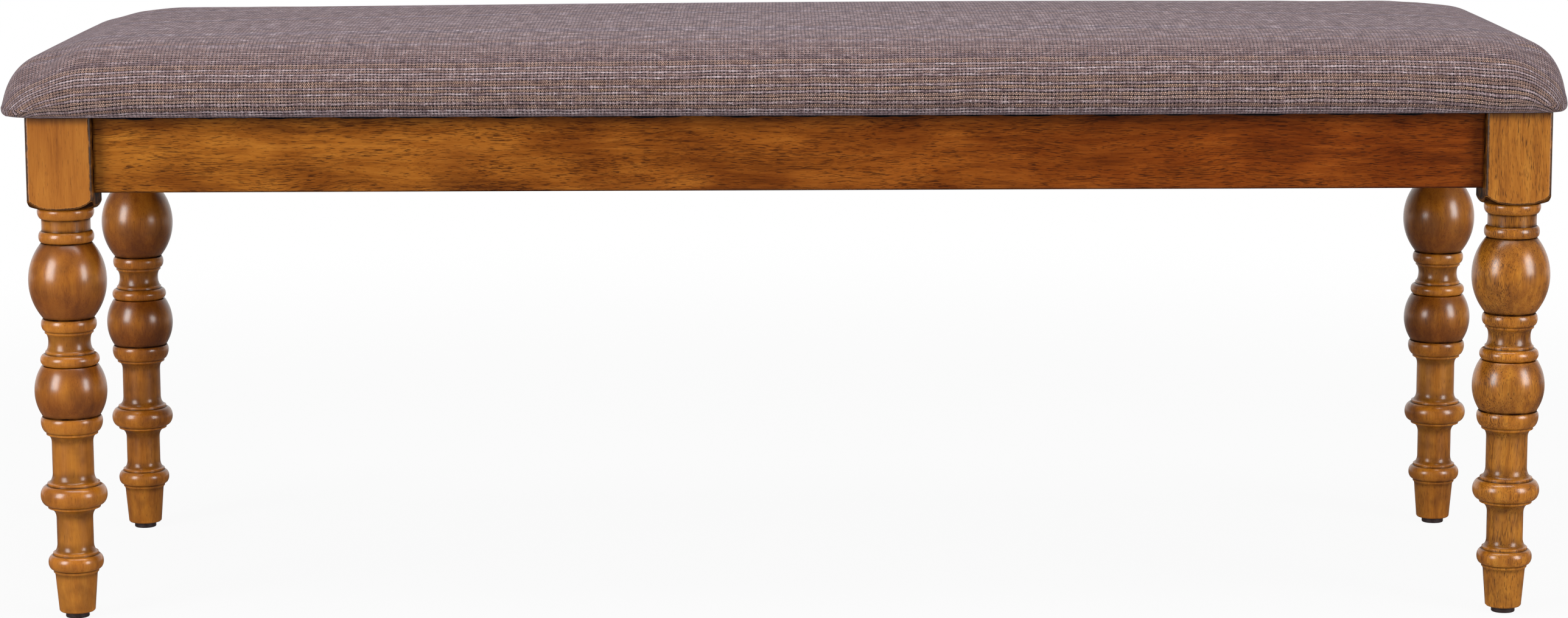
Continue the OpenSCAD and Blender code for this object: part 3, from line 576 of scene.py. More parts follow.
def make_dust_cover(material):
    """The dust cover: a thin sheet, flat where the frame holds it and hanging a little in waves where
    it stands out past the rails."""
    half_l, half_d = DUST_HIGH.x, DUST_HIGH.y
    corner = 20 * MM
    edge, inward = rounded_outline(half_l, half_d, corner, 3 * MM)
    walked = walk(*np.append(edge, edge[:1], axis=0).T)[:-1]
    wave = sum(size * np.sin(walked / (length * MM) + phase)
               for size, length, phase in
               ((0.9, 9.7, 0.4), (0.7, 4.3, 1.9), (0.6, 16.1, 3.0), (0.3, 2.3, 0.7)))
    beside_leg = (np.abs(edge[:, 0]) > RAIL_END - 8 * MM) & (np.abs(edge[:, 1]) > END_RAIL_END - 8 * MM)
    droop = np.where(beside_leg, 0.25, np.clip(0.75 + 0.65 * wave, 0.1, 2.4)) * MM
    droop = np.minimum(droop, softened(np.tile(droop, 3), 3)[len(droop):2 * len(droop)] + 0.2 * MM)
    level = (DUST_LOW.z + DUST_HIGH.z) / 2
    insets = np.array([0, 1, 2.5, 4.5, 7, 9.5, 12, 18]) * MM
    rings = []
    for inset in insets:
        hang = np.clip(1 - inset / (9.5 * MM), 0, 1) ** 1.5
        flat = edge + inward * inset
        rings.append(np.column_stack([flat, level - droop * hang]))
    points = np.concatenate(rings)
    faces = between(len(rings), len(edge), around=True)
    faces.append(list(range((len(rings) - 1) * len(edge), len(rings) * len(edge))))
    sheet = mesh_object("dust_cover_sheet", points, faces)
    thick = sheet.modifiers.new("thickness", "SOLIDIFY")
    thick.thickness = SHEET_THICK
    thick.offset = 0
    settle(sheet, material, "dust_cover_fabric", "dust_cover")


def make_staples(material):
    """The staples that hold the dust cover, in a row inside its edge between the leg blocks. Each is a
    flat wire bent at both ends: a rectangle carried along a path of six points."""
    inside = 10.5 * MM
    half_l, half_d = DUST_HIGH.x - inside, DUST_HIGH.y - inside
    runs = []
    for turn, half, away, spacing in ((0, RAIL_END, half_d, 38), (90, END_RAIL_END, half_l, 36)):
        along = np.linspace(-half + 18 * MM, half - 18 * MM, int(2 * half / (spacing * MM)))
        for side in (0, 180):
            angle = math.radians(turn + side)
            middles = np.stack([along, np.full_like(along, -away)], axis=1) @ turning(angle)
            runs.append(np.column_stack([middles, np.full_like(along, angle)]))
    x, y, angle = np.concatenate(runs).T
    number = np.arange(len(x))
    angle = angle + 0.12 * np.sin(number * 2.4)
    path = np.array([(-5.0, 0.5), (-4.9, -0.25), (-4.5, -0.45), (4.5, -0.45), (4.9, -0.25), (5.0, 0.5)]) * MM
    inner = np.array([(-4.5, 0.5), (-4.5, 0.0), (-4.3, 0.0), (4.3, 0.0), (4.5, 0.0), (4.5, 0.5)]) * MM
    half_w = 0.45 * MM
    edges = ((path, -half_w), (path, half_w), (inner, half_w), (inner, -half_w))
    one = np.stack([np.column_stack([line[:, 0], np.full(len(line), wide), line[:, 1]])
                    for line, wide in edges], axis=1).reshape(-1, 3)
    level = (DUST_LOW.z + DUST_HIGH.z) / 2 - SHEET_THICK / 2
    cos, sin = np.cos(angle)[:, None], np.sin(angle)[:, None]
    points = np.stack([x[:, None] + one[:, 0] * cos - one[:, 1] * sin,
                       y[:, None] + one[:, 0] * sin + one[:, 1] * cos,
                       np.broadcast_to(level + one[:, 2], (len(x), len(one)))], axis=-1)
    faces = between(len(path), 4, around=True)
    faces = np.array(faces + [[3, 2, 1, 0], [20, 21, 22, 23]])
    faces = (faces[None] + len(one) * number[:, None, None]).reshape(-1, 4).tolist()
    staples = mesh_object("staples", points, faces)
    settle(staples, material, "zinc_steel")


# Materials

def seen(red, green, blue):
    """A colour given as it is seen, from 0 to 255, in linear light."""
    share = np.array([red, green, blue]) / 255
    linear = np.where(share <= 0.04045, share / 12.92, ((share + 0.055) / 1.055) ** 2.4)
    return (*linear.tolist(), 1.0)


class Pattern:
    """Short calls that add nodes to a tree. A value may be a number, a colour or the output of another
    call."""

    def __init__(self, tree):
        self.tree = tree

    def feed(self, socket, value):
        if isinstance(value, bpy.types.NodeSocket):
            self.tree.links.new(value, socket)
        else:
            socket.default_value = value

    def node(self, kind, inputs, output=0, **settings):
        made = self.tree.nodes.new(kind)
        for name, value in settings.items():
            setattr(made, name, value)
        for socket, value in inputs.items():
            self.feed(made.inputs[socket], value)
        return made.outputs[output]

    def calc(self, operation, a, b=0.0, c=0.0):
        return self.node("ShaderNodeMath", {0: a, 1: b, 2: c}, operation=operation)

    plus = partialmethod(calc, "ADD")
    less = partialmethod(calc, "SUBTRACT")
    times = partialmethod(calc, "MULTIPLY")
    over = partialmethod(calc, "DIVIDE")
    times_plus = partialmethod(calc, "MULTIPLY_ADD")
    larger = partialmethod(calc, "MAXIMUM")
    smaller = partialmethod(calc, "MINIMUM")
    absolute = partialmethod(calc, "ABSOLUTE")
    whole = partialmethod(calc, "FLOOR")
    part = partialmethod(calc, "FRACT")

    def centred(self, value):
        return self.less(value, 0.5)

    def swayed(self, value, noise, most):
        """A value plus a part of most that a noise from 0 to 1 gives, none at its middle."""
        return self.times_plus(self.centred(noise), most, value)

    def length(self, vector):
        return self.node("ShaderNodeVectorMath", {0: vector}, "Value", operation="LENGTH")

    def place(self):
        return self.node("ShaderNodeTexCoord", {}, "Object")

    def moved(self, vector, shift=(0, 0, 0), scale=(1, 1, 1), turn=(0, 0, 0)):
        return self.node("ShaderNodeMapping", {"Vector": vector, "Location": shift, "Scale": scale,
                                               "Rotation": turn})

    def noise(self, vector, size=1.0, detail=2.0, rough=0.5, output=0):
        return self.node("ShaderNodeTexNoise",
                         {"Vector": vector, "Scale": 1 / size, "Detail": detail, "Roughness": rough}, output)

    def span(self, value, low, high, start=0.0, end=1.0, way="LINEAR"):
        """A value that runs from start to end while the input runs from low to high."""
        return self.node("ShaderNodeMapRange", {0: value, 1: low, 2: high, 3: start, 4: end},
                         interpolation_type=way)

    def eased(self, value, low, high, start=0.0, end=1.0):
        return self.span(value, low, high, start, end, "SMOOTHSTEP")

    def blend(self, share, a, b, way="MIX"):
        return self.node("ShaderNodeMix", {0: share, 6: a, 7: b}, 2, data_type="RGBA", blend_type=way)

    def tinted(self, colour, tint):
        return self.blend(1.0, colour, tint, "MULTIPLY")

    def ramp(self, value, stops, interpolation="LINEAR"):
        made = self.tree.nodes.new("ShaderNodeValToRGB")
        made.color_ramp.interpolation = interpolation
        for _ in stops[2:]:
            made.color_ramp.elements.new(0.5)
        for element, (place, colour) in zip(made.color_ramp.elements, stops):
            element.position = place
            element.color = colour
        self.feed(made.inputs[0], value)
        return made.outputs[0]

    def split(self, vector):
        made = self.tree.nodes.new("ShaderNodeSeparateXYZ")
        self.feed(made.inputs[0], vector)
        return tuple(made.outputs)

    def join(self, x, y, z=0.0):
        return self.node("ShaderNodeCombineXYZ", {0: x, 1: y, 2: z})

    def value_of(self, attribute):
        return self.node("ShaderNodeAttribute", {}, "Fac", attribute_name=attribute)


class Finish(Pattern):
    """A material whose look is a pattern."""

    def __init__(self, name, roughness=0.5, **settings):
        self.material = bpy.data.materials.new(name)
        self.material.use_nodes = True
        super().__init__(self.material.node_tree)
        self.shader = self.tree.nodes["Principled BSDF"]
        self.shader.inputs["Roughness"].default_value = roughness
        for socket, value in settings.items():
            self.shader.inputs[socket.replace("_", " ")].default_value = value

    def coat_with(self, colour, roughness=None, height=None, depth=0.1 * MM):
        self.feed(self.shader.inputs["Base Color"], colour)
        if roughness is not None:
            self.feed(self.shader.inputs["Roughness"], roughness)
        if height is not None:
            bump = self.node("ShaderNodeBump", {"Strength": 1.0, "Distance": depth, "Height": height})
            self.feed(self.shader.inputs["Normal"], bump)
        return self.material


# How far below the top of the frame the turning's tint gives way to the block's; the turning is yellower,
# partly from its stain and partly a painted reflection of the lacquer's gloss
TURNING_TINT_END = 90 * MM
BLOCK_TINT_START = 72 * MM
# The dark of the glaze, also used for painted shade
DARK_GLAZE_AND_SHADE = seen(36, 17, 7)


def amber_wood(name, grain, seed, warmth=None, pores=0.5, wave=2.5 * MM, rail_half=None, toner_and_shade_amount=1.0):
    """Stained and lacquered hardwood. Grain is the axis that the fibres follow, and seed moves the
    pattern. Wood with half the length of a rail gets a rail's clouds, glaze and painted shade, other
    wood a leg's. Warmth shifts the stain from yellow brown to red brown, on a rail from its left end to
    its right, and the last argument is how strongly toner, with painted light and shade, marks the
    bulbs of a leg. The noise that draws the fibres and the short dark pores is stretched along the
    grain, and a slow noise bends it. A pore is where a fine noise passes a level that a slower one
    lowers."""
    wood = Finish(name, Coat_Weight=0.35, Coat_Roughness=0.25, Coat_IOR=1.6, Specular_IOR_Level=0.0)
    axis = "XYZ".index(grain)

    def streaks(at, stretch, size, shift=(0, 0, 0), **how):
        """A noise of a size, longer along the grain by a stretch."""
        scale = [1 / size] * 3
        scale[axis] = 1 / (size * stretch)
        return wood.noise(wood.moved(at, shift, scale), **how)

    here = wood.moved(wood.place(), shift=(seed * 0.37, seed * 0.71, seed * 0.53))
    slow = streaks(here, 2.2, 55 * MM, detail=1.5, output=1)
    sway = wood.node("ShaderNodeVectorMath", {0: slow, 1: (0.5, 0.5, 0.5)}, operation="SUBTRACT")
    sway = wood.node("ShaderNodeVectorMath", {0: sway, 3: wave * 4}, operation="SCALE")
    grained = wood.node("ShaderNodeVectorMath", {0: here, 1: sway}, operation="ADD")

    board = streaks(grained, 8, 24 * MM, detail=3)
    figure = streaks(grained, 12, 4.5 * MM, detail=4, rough=0.65)
    fibre = streaks(grained, 40, 0.6 * MM, detail=3, rough=0.65)
    if rail_half:
        x = wood.split(wood.place())[0]
        warmth = wood.span(wood.times_plus(board, 0.6, x), -0.25, 0.95, 0.2, 1.25)
    pale = wood.blend(warmth, seen(186, 122, 44), seen(146, 74, 20))
    middle = wood.blend(warmth, seen(158, 94, 27), seen(120, 54, 11))
    deep = wood.blend(warmth, seen(104, 54, 13), seen(76, 30, 7))
    strong = 0.25 + 0.4 * pores
    tone = wood.times_plus(figure, strong, wood.times(board, 0.6))
    tone = wood.times_plus(fibre, 0.35, wood.less(tone, 0.5 * strong - 0.05))
    colour = wood.blend(wood.span(tone, 0.26, 0.52), deep, middle)
    colour = wood.blend(wood.span(tone, 0.50, 0.78), colour, pale)

    dash = streaks(grained, 18, 0.5 * MM, detail=1.5)
    crowd = streaks(grained, 4, 20 * MM, shift=(3, 1, 2), detail=3)
    cut = wood.times_plus(crowd, -0.34 * pores, 0.70 + 0.05 * pores)
    dashes = wood.eased(wood.less(dash, cut), 0.0, 0.05)
    colour = wood.blend(wood.times(dashes, 0.35 + 0.4 * pores), colour, seen(50, 22, 9))
    roughness = wood.span(fibre, 0.2, 0.8, 0.36, 0.48)
    height = wood.times_plus(fibre, 0.35, wood.times(dashes, -0.8))

    patchy = wood.noise(here, 9 * MM, detail=3)
    if rail_half:
        cloud = streaks(grained, 2, 30 * MM, shift=(1, 5, 3), detail=2.5)
        tint = wood.blend(wood.span(cloud, 0.36, 0.64), (0.84, 0.76, 0.68, 1), (1.3, 1.36, 1.32, 1))
        colour = shade_and_glaze_rail(wood, wood.tinted(colour, tint), patchy, axis, rail_half)
    else:
        ragged = streaks(here, 4, 0.8 * MM, detail=4, rough=0.7)
        mottle = wood.noise(here, 16 * MM, detail=2)
        colour = stain_and_shade_leg(wood, colour, patchy, ragged, mottle, toner_and_shade_amount)
    return wood.coat_with(colour, roughness, height, depth=0.12 * MM)


def stain_and_shade_leg(wood, colour, patchy, ragged, mottle, toner_and_shade_amount):
    """The stain of a leg, with painted light and shade: yellower on the turning than on the block,
    partly from stain and partly a painted reflection; toner on the bulbs with painted light and shade;
    dark glaze with painted shade in the hollows, where it dulls the lacquer; painted shade under the
    seat at the top; paler crests, rubbed and with a painted highlight; and edges of the block that are
    rubbed bare and dirty again, with painted shade and a painted highlight there too."""
    glaze_and_shade = wood.value_of("glaze_and_shade")
    height_z = wood.split(wood.place())[2]
    # The turning's tint is yellower: partly stain, partly a painted reflection of the gloss
    below = wood.span(height_z, FRAME_TOP - TURNING_TINT_END, FRAME_TOP - BLOCK_TINT_START, 1.0, 0.0)
    tint = wood.blend(below, (1.35, 1.45, 1.5, 1), (1.45, 1.6, 1.35, 1))
    # Toner on the bulbs, with painted light above their middle and painted shade at their ends
    tint = wood.blend(wood.times(wood.value_of("toner_and_shade"), toner_and_shade_amount), tint, (0.8, 0.72, 0.55, 1))
    colour = wood.tinted(colour, tint)
    mottled = wood.times(wood.span(mottle, 0.42, 0.7, 0.0, 0.4), below)
    colour = wood.blend(mottled, colour, seen(84, 42, 16))
    # Paler on the crests: finish rubbed thin, and a painted highlight
    rubbed_and_lit = wood.span(glaze_and_shade, 0.0, -0.6, 0.0, 0.5)
    colour = wood.blend(rubbed_and_lit, colour, wood.tinted(colour, (1.5, 1.42, 1.3, 1)))
    wood.feed(wood.shader.inputs["Coat Weight"], wood.span(glaze_and_shade, 0.1, 0.8, 1.0, 0.05))
    # Darker in the hollows: dark glaze, with painted shade there too
    glaze_and_shade_share = wood.times(wood.span(glaze_and_shade, 0.04, 0.7, 0, 0.94), wood.span(patchy, 0.3, 0.65, 0.7, 1.15))
    colour = wood.blend(glaze_and_shade_share, colour, DARK_GLAZE_AND_SHADE)
    # Darker at the top of the block: painted shade under the seat
    under_seat_shade = wood.eased(height_z, FRAME_TOP - 8 * MM, FRAME_TOP, 0.0, 0.6)
    colour = wood.blend(under_seat_shade, colour, DARK_GLAZE_AND_SHADE)
    uneven = wood.plus(wood.times(wood.centred(ragged), 0.6), wood.times(wood.centred(patchy), 0.7))
    # Edges of the block: dark where rubbed and dirty, with painted shade on the rounded edge, and a paler
    # band of bare wood with a painted highlight
    worn_and_shaded = wood.plus(wood.value_of("edge"), uneven)
    bare_and_glint = wood.times(wood.eased(worn_and_shaded, 0.35, 0.75), 0.35)
    colour = wood.blend(bare_and_glint, colour, seen(190, 122, 52))
    rubbed_and_shaded = wood.times(wood.eased(worn_and_shaded, 0.66, 1.0), 0.9)
    return wood.blend(rubbed_and_shaded, colour, seen(36, 22, 16))


def shade_and_glaze_rail(wood, colour, patchy, axis, half_length):
    """Dark bands along the edges of a rail and against the leg blocks: painted shade along its top under the
    seat and at its lower edge, and at its ends dark glaze in the joint with the painted shadow of the block.
    """
    parts = wood.split(wood.place())
    from_end = wood.less(half_length, wood.absolute(parts[axis]))
    above = wood.less(parts[2], RAIL_LOW.z)
    below_top = wood.less(RAIL_HIGH.z, parts[2])
    # Ends: dark glaze in the joint and the block's painted shadow; foot: painted shade at the lower edge;
    # top: painted shade under the seat
    ends = wood.eased(from_end, 0.2 * MM, 2.5 * MM, 0.7, 0.0)
    foot = wood.eased(above, 0.3 * MM, 2.2 * MM, 0.8, 0.0)
    under_seat_shade = wood.eased(below_top, 1 * MM, 11 * MM, 0.5, 0.0)
    glaze_and_shade_share = wood.larger(ends, wood.larger(foot, under_seat_shade))
    glaze_and_shade_share = wood.times(glaze_and_shade_share, wood.span(patchy, 0.3, 0.7, 0.7, 1.1))
    return wood.blend(glaze_and_shade_share, colour, DARK_GLAZE_AND_SHADE)


# The cloth's weave: height of a row, width of a loop, and rows in half a repeat of its tan bands
ROW = 2.4 * MM
WARP = 3.0 * MM
STRIPE_ROWS = 26
# Each band of the repeat: the row where it starts and its share of tan thread
BANDS = [(0, 0.1), (4, 0.6), (5, 0.15), (6, 0.65), (8, 0.1), (9, 0.75), (10, 0.1), (11, 0.6),
         (13, 0.1), (14, 0.35), (15, 0.1), (16, 0.45), (17, 0.1), (18, 0.6), (20, 0.1), (22, 0.3)]
# From the flat top to where the cloth rolls under the seat, measured down the cloth
CLOTH_FALL = 95.5 * MM
# Half the length and depth on the cloth inside which the top's streaks are strong, and where they fade;
# these streaks are painted light and shade of the yarn's relief on the flat top
STREAKS_HALF_L = 0.56
STREAKS_HALF_D = 0.16
STREAKS_FADE = 0.04


def woven_cloth(name):
    """Upholstery cloth woven in thick slubby rows with dark pinholes between them and bands of tan
    thread; the pinholes and the valleys between the rows are darkened with painted shade. Rows and
    pinholes are counted from the UV map, which lies flat on the cloth. Each kind of slub and streak is
    a noise with its own length and width."""
    cloth = Finish(name, roughness=0.85, Sheen_Weight=0.25, Sheen_Roughness=0.4,
                   Sheen_Tint=(0.84, 0.8, 1.0, 1.0), Specular_IOR_Level=0.15)
    flat = cloth.node("ShaderNodeUVMap", {}, uv_map="threads")
    waver = cloth.noise(flat, 38 * MM, detail=2, output=1)
    shiver = cloth.noise(flat, 7 * MM, detail=1, output=1)
    u, v, _ = cloth.split(flat)
    slow_u, slow_v, _ = cloth.split(waver)
    _, fast_v, _ = cloth.split(shiver)
    u = cloth.swayed(u, slow_u, 2.5 * MM)
    v = cloth.swayed(v, slow_v, 2.2 * MM)
    v = cloth.swayed(v, fast_v, 0.7 * MM)
    edge_v = SEAT_HIGH.y - ROUND_DEPTH + CLOTH_FALL
    rows = cloth.over(cloth.plus(v, edge_v), ROW)
    ends = cloth.over(cloth.plus(u, 3.0), WARP)
    number = cloth.whole(rows)

    def slubs(length, width, rough):
        """Noise whose spots are so many millimetres long and wide."""
        at = cloth.join(cloth.times(u, 1 / (length * MM)), cloth.times(v, 1 / (width * MM)))
        return cloth.noise(at, detail=3, rough=rough)

    slub = slubs(1.5, 0.9, 0.7)
    clump = slubs(2.2, 7, 0.75)
    broad = slubs(13, 9, 0.6)
    streaky = slubs(11, 6.5, 0.7)
    streak_at = cloth.join(cloth.times(u, 1 / (10 * MM)), cloth.times(number, 3.7))
    streak = cloth.noise(streak_at, detail=3, rough=0.6)
    shade_at = cloth.join(cloth.times(u, 1 / (11 * MM)), cloth.times(number, 0.6), 5.0)
    gap_shade = cloth.noise(shade_at, detail=2)
    cell_at = cloth.join(cloth.whole(ends), number)
    each_cell = cloth.node("ShaderNodeTexWhiteNoise", {"Vector": cell_at}, noise_dimensions="2D")
    each_row = cloth.node("ShaderNodeTexWhiteNoise", {"W": number}, noise_dimensions="1D")

    repeat = cloth.calc("PINGPONG", cloth.plus(number, 0.5), STRIPE_ROWS)
    repeat = cloth.over(repeat, STRIPE_ROWS)
    stops = [(row / STRIPE_ROWS, (share, share, share, 1)) for row, share in BANDS]
    band = cloth.ramp(repeat, stops, "CONSTANT")
    band = cloth.times(band, cloth.span(streak, 0.3, 0.66, 0.45, 1.35))

    # Small loops of tan thread, two to a row and staggered, and the pinholes between the rows, dark with
    # painted shade
    half_rows = cloth.times(rows, 2.0)
    stagger = cloth.times(cloth.calc("MODULO", cloth.whole(half_rows), 2.0), 0.5)
    fine_u = cloth.centred(cloth.part(cloth.times_plus(ends, 2.0, stagger)))
    fine_v = cloth.centred(cloth.part(half_rows))
    from_dot = cloth.length(cloth.join(fine_u, fine_v))
    loops = cloth.eased(from_dot, 0.18, 0.5, 1.0, 0.0)
    small_hole = cloth.eased(from_dot, 0.36, 0.56)
    across = cloth.absolute(cloth.centred(cloth.part(rows)))
    ridge = cloth.eased(across, 0.0, 0.5, 1.0, 0.0)
    valley = cloth.eased(across, 0.22, 0.42)
    beside = cloth.absolute(cloth.centred(cloth.part(ends)))
    hole = cloth.times(cloth.eased(beside, 0.1, 0.26, 1.0, 0.0), cloth.eased(across, 0.1, 0.28))
    hole = cloth.times(hole, cloth.span(each_cell, 0.0, 0.6, 0.35, 1.0))
    holes = cloth.larger(cloth.times(hole, 0.97), cloth.times(small_hole, band))

    # How light the yarn is
    inward = cloth.smaller(cloth.less(STREAKS_HALF_L, cloth.absolute(u)),
                           cloth.less(STREAKS_HALF_D, cloth.absolute(v)))
    on_top = cloth.span(inward, -STREAKS_FADE, 0.0, 0.15, 1.0)
    fleck = cloth.times_plus(streak, 0.3, cloth.times_plus(slub, 0.65, -0.05))
    fleck = cloth.times_plus(clump, 0.24, cloth.plus(fleck, 0.075))
    fleck = cloth.swayed(fleck, broad, 0.12)
    # Stronger streaks on the flat top: painted light and shade of the yarn's relief
    fleck = cloth.times_plus(cloth.times(cloth.centred(streaky), on_top), 1.05, fleck)
    fleck = cloth.swayed(fleck, each_cell, 0.08)
    fleck = cloth.swayed(fleck, each_row, 0.12)

    yarn = cloth.ramp(fleck, [(0.42, seen(54, 40, 44)), (0.62, seen(132, 111, 114)),
                              (0.84, seen(222, 205, 210))])
    tan = cloth.blend(loops, seen(90, 55, 46), seen(242, 200, 172))
    tan = cloth.blend(cloth.span(fleck, 0.4, 0.7, 0.6, 0.0), tan, seen(96, 62, 52))
    colour = cloth.blend(band, yarn, tan)
    # Dark lines in the valleys between the rows: painted shade
    row_gap_shade = cloth.swayed(gap_shade, each_row, 0.22)
    dark_line = cloth.times(valley, cloth.span(row_gap_shade, 0.38, 0.56, 0.2, 1.0))
    colour = cloth.blend(cloth.times(dark_line, 0.85), colour, seen(30, 21, 25))
    # Dark pinholes: painted shade
    colour = cloth.blend(holes, colour, seen(16, 10, 12))
    height = cloth.times_plus(slub, 0.5, cloth.times(ridge, 0.6))
    height = cloth.less(height, cloth.times(holes, 0.6))
    return cloth.coat_with(colour, height=height, depth=0.5 * MM)


def plain_wood(name, turn, pale=(214, 178, 128), dark=(176, 132, 84)):
    """Bare sawn softwood: growth lines and fibres stretched along X after a turn."""
    wood = Finish(name, roughness=0.65, Specular_IOR_Level=0.3)
    here = wood.moved(wood.moved(wood.place(), turn=(0, 0, turn)), scale=(1 / 14, 1, 1))
    lines = wood.noise(here, 3.5 * MM, detail=3, rough=0.55)
    fibre = wood.noise(wood.moved(here, scale=(0.3, 1, 1)), 0.5 * MM, detail=2)
    tone = wood.times_plus(fibre, 0.3, wood.times(lines, 0.7))
    colour = wood.ramp(tone, [(0.35, seen(*dark)), (0.62, seen(*pale))])
    return wood.coat_with(colour, height=fibre, depth=0.1 * MM)


def zinc_steel():
    metal = Finish("zinc steel", roughness=0.35, Metallic=1.0)
    patch = metal.noise(metal.place(), 3 * MM, detail=3)
    colour = metal.ramp(patch, [(0.3, seen(150, 152, 154)), (0.7, seen(196, 198, 202))])
    return metal.coat_with(colour, metal.span(patch, 0.3, 0.7, 0.28, 0.46))


def glide_plastic():
    plastic = Finish("dark glide", roughness=0.5)
    scuff = plastic.noise(plastic.place(), 1.2 * MM, detail=3)
    colour = plastic.ramp(scuff, [(0.35, seen(40, 26, 26)), (0.7, seen(66, 46, 44))])
    return plastic.coat_with(colour, height=scuff, depth=0.05 * MM)


def black_felt():
    """Thin black non-woven cloth: short fibres lying every way."""
    felt = Finish("black dust cloth", roughness=0.9, Specular_IOR_Level=0.05)
    fibre = felt.noise(felt.place(), 0.8 * MM, detail=4, rough=0.7)
    colour = felt.ramp(fibre, [(0.3, seen(14, 13, 15)), (0.75, seen(44, 42, 46))])
    return felt.coat_with(colour, height=fibre, depth=0.15 * MM)


def white_floor():
    """A white floor. What the camera, gloss and glass see of it is lifted to plain white, all but a
    part near the bench that keeps its shadow. Gloss sees it grey in front, like the room there."""
    floor = Finish("white floor", roughness=0.9, Base_Color=(0.55, 0.55, 0.55, 1), Specular_IOR_Level=0.0)
    here = floor.place()
    rays = floor.tree.nodes.new("ShaderNodeLightPath").outputs
    near_bench = floor.eased(floor.length(here), 0.9, 2.2, 0.94, 1.0)
    lift = floor.times(near_bench, rays["Is Camera Ray"])
    mirrored = floor.larger(rays["Is Glossy Ray"], rays["Is Transmission Ray"])
    lift = floor.larger(lift, floor.times(mirrored, 0.9))
    backdrop = floor.eased(floor.split(here)[1], 0.3, 2.0, 0.1, 1.0)
    glow = floor.node("ShaderNodeEmission", {
        "Color": (1, 1, 1, 1), "Strength": floor.larger(backdrop, rays["Is Camera Ray"])})
    mixed = floor.node("ShaderNodeMixShader", {0: lift, 1: floor.shader.outputs[0], 2: glow})
    floor.tree.links.new(mixed, floor.tree.nodes["Material Output"].inputs["Surface"])
    return floor.material


# Studio

FLOOR_HALF = 16.0
WORLD_LEVEL = 0.2


def make_camera():
    """The camera of the photograph, from a fit to the four legs: place, tilt, turn, roll and lens."""
    camera = add_object("camera", bpy.data.cameras.new("camera"))
    place = (-0.0088, -3.4626, 0.762)
    down, turn, roll = 0.152885, -0.00131, 0.003462
    turned = (Matrix.Rotation(turn, 4, "Z") @ Matrix.Rotation(math.pi / 2 - down, 4, "X")
              @ Matrix.Rotation(-roll, 4, "Z"))
    camera.matrix_world = Matrix.Translation(place) @ turned
    camera.data.sensor_fit = "HORIZONTAL"
    camera.data.sensor_width = 36
    camera.data.lens = 92.61
    camera.data.clip_end = 100
    bpy.context.scene.camera = camera


def softbox(name, place, aim, width, height, watts):
    """A soft rectangular lamp that faces a point."""
    light = bpy.data.lights.new(name, "AREA")
    light.shape = "RECTANGLE"
    light.size, light.size_y, light.energy = width, height, watts
    lamp = add_object(name, light)
    away = Matrix.Translation(place).translation - Matrix.Translation(aim).translation
    lamp.rotation_mode = "QUATERNION"
    lamp.rotation_quaternion = away.to_track_quat("Z", "Y")
    lamp.location = place


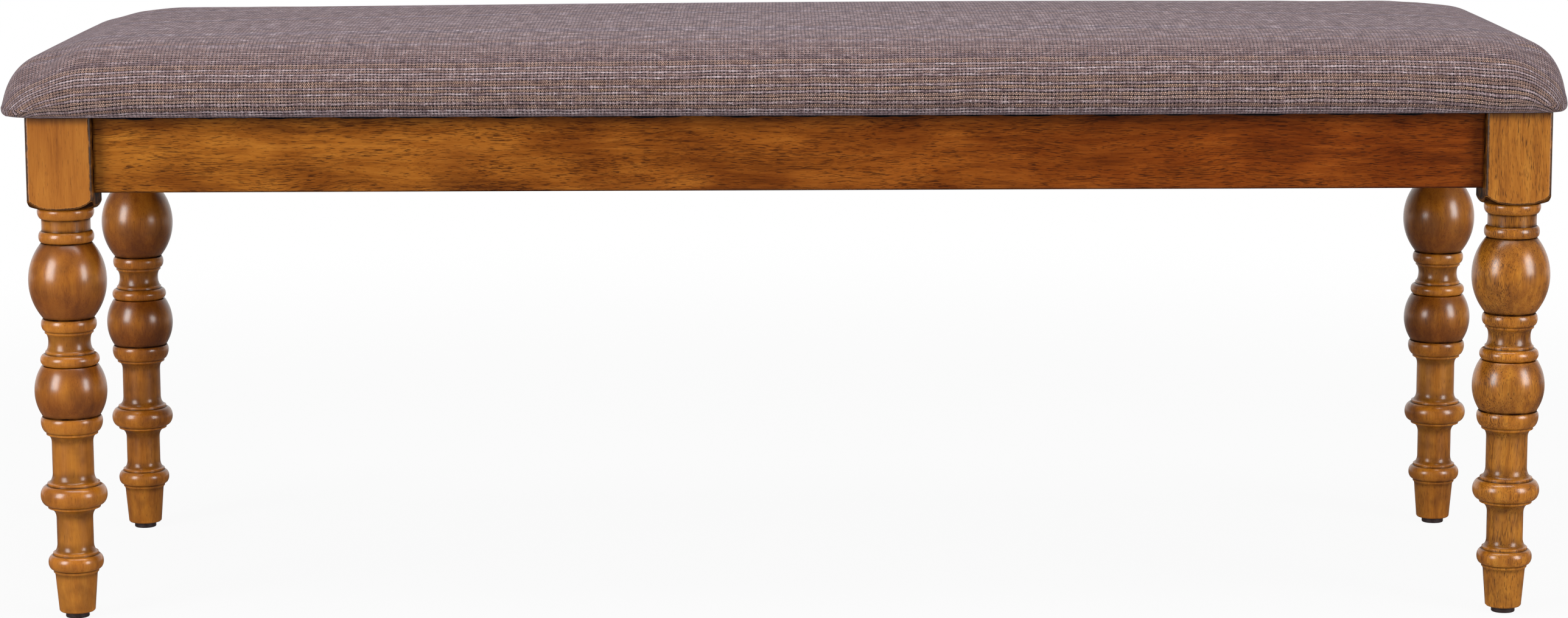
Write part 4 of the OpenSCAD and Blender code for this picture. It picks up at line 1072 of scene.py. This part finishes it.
def make_studio():
    """A white floor, two soft lamps in front at the sides, one overhead, and a world whose white
    backdrop stands behind the bench, while gloss sees the greyer room in front of it."""
    corners = FLOOR_HALF * np.array([[-1, -1, 0], [1, -1, 0], [1, 1, 0], [-1, 1, 0]])
    floor = mesh_object("floor", corners, [[0, 1, 2, 3]])
    floor.data.materials.append(white_floor())
    softbox("lamp_left", (-2.2, -1.9, 1.05), (-0.2, 0, 0.3), 1.0, 1.5, 47)
    softbox("lamp_right", (2.5, -1.9, 1.05), (0.2, 0, 0.3), 1.0, 1.5, 47)
    softbox("lamp_top", (0, -0.5, 2.4), (0, 0, 0.4), 2.2, 0.9, 36)
    world = bpy.data.worlds.new("studio")
    bpy.context.scene.world = world
    world.use_nodes = True
    sky = Pattern(world.node_tree)
    rays = sky.tree.nodes.new("ShaderNodeLightPath").outputs
    mirrored = sky.larger(rays["Is Glossy Ray"], rays["Is Transmission Ray"])
    behind = sky.split(sky.node("ShaderNodeTexCoord", {}, "Generated"))[1]
    shown = sky.times(mirrored, sky.eased(behind, 0.3, 0.85, 0.06, 1.0))
    strength = sky.larger(sky.larger(shown, WORLD_LEVEL), rays["Is Camera Ray"])
    background = sky.tree.nodes["Background"]
    sky.feed(background.inputs["Strength"], strength)
    background.inputs["Color"].default_value = (1, 1, 1, 1)
    bpy.context.scene.view_settings.view_transform = "Standard"


def finish_node(name, material):
    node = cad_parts[name]
    node.data.materials.clear()
    node.data.materials.append(material)


def finish_nodes(steel):
    """Materials of the nodes that stay as they are."""
    for name, grain, half, seed, pores, nodes in (
            ("front rail wood", "X", RAIL_END, 2.0, 1.0, ["front_rail"]),
            ("back rail wood", "X", RAIL_END, 7.0, 0.8, ["back_rail"]),
            ("end rail wood", "Y", END_RAIL_END, 4.0, 0.8, ["left_end_rail", "right_end_rail"])):
        wood = amber_wood(name, grain, seed, pores=pores, wave=3 * MM, rail_half=half)
        for node in nodes:
            finish_node(node, wood)
    for name in ("hanger_bolts", "flat_washers", "lock_washers", "hex_nuts", "corner_block_screws",
                 "seat_screws", "glide_nails"):
        finish_node(name, steel)
    glide = glide_plastic()
    rising = plain_wood("corner block wood", math.pi / 4)
    falling = plain_wood("corner block wood 2", -math.pi / 4)
    for side, block in (("front_left", rising), ("front_right", falling), ("back_left", falling),
                        ("back_right", rising)):
        finish_node("glide_" + side, glide)
        finish_node("corner_block_" + side, block)
    dowels = plain_wood("dowel wood", math.pi / 2, (206, 168, 118), (170, 128, 84))
    board = plain_wood("seat board wood", 0.0, (206, 172, 124), (160, 120, 78))
    finish_node("centre_rail", plain_wood("centre rail wood", math.pi / 2))
    finish_node("centre_rail_dowels", dowels)
    finish_node("seat_board", board)


make_camera()
make_studio()
STEEL = zinc_steel()
finish_nodes(STEEL)
make_legs({
    side: amber_wood("leg wood " + side.replace("_", " "), "Z", seed, warmth, pores, toner_and_shade_amount=toner_and_shade_amount)
    for side, seed, warmth, pores, toner_and_shade_amount in (
        ("front_left", 1.0, 0.4, 0.25, 1.0), ("front_right", 3.0, 0.15, 0.9, 0.25),
        ("back_left", 5.0, 0.45, 0.4, 1.0), ("back_right", 6.0, 0.35, 0.5, 1.0))
})
make_cushion(woven_cloth("woven seat cloth"))
make_dust_cover(black_felt())
make_staples(STEEL)
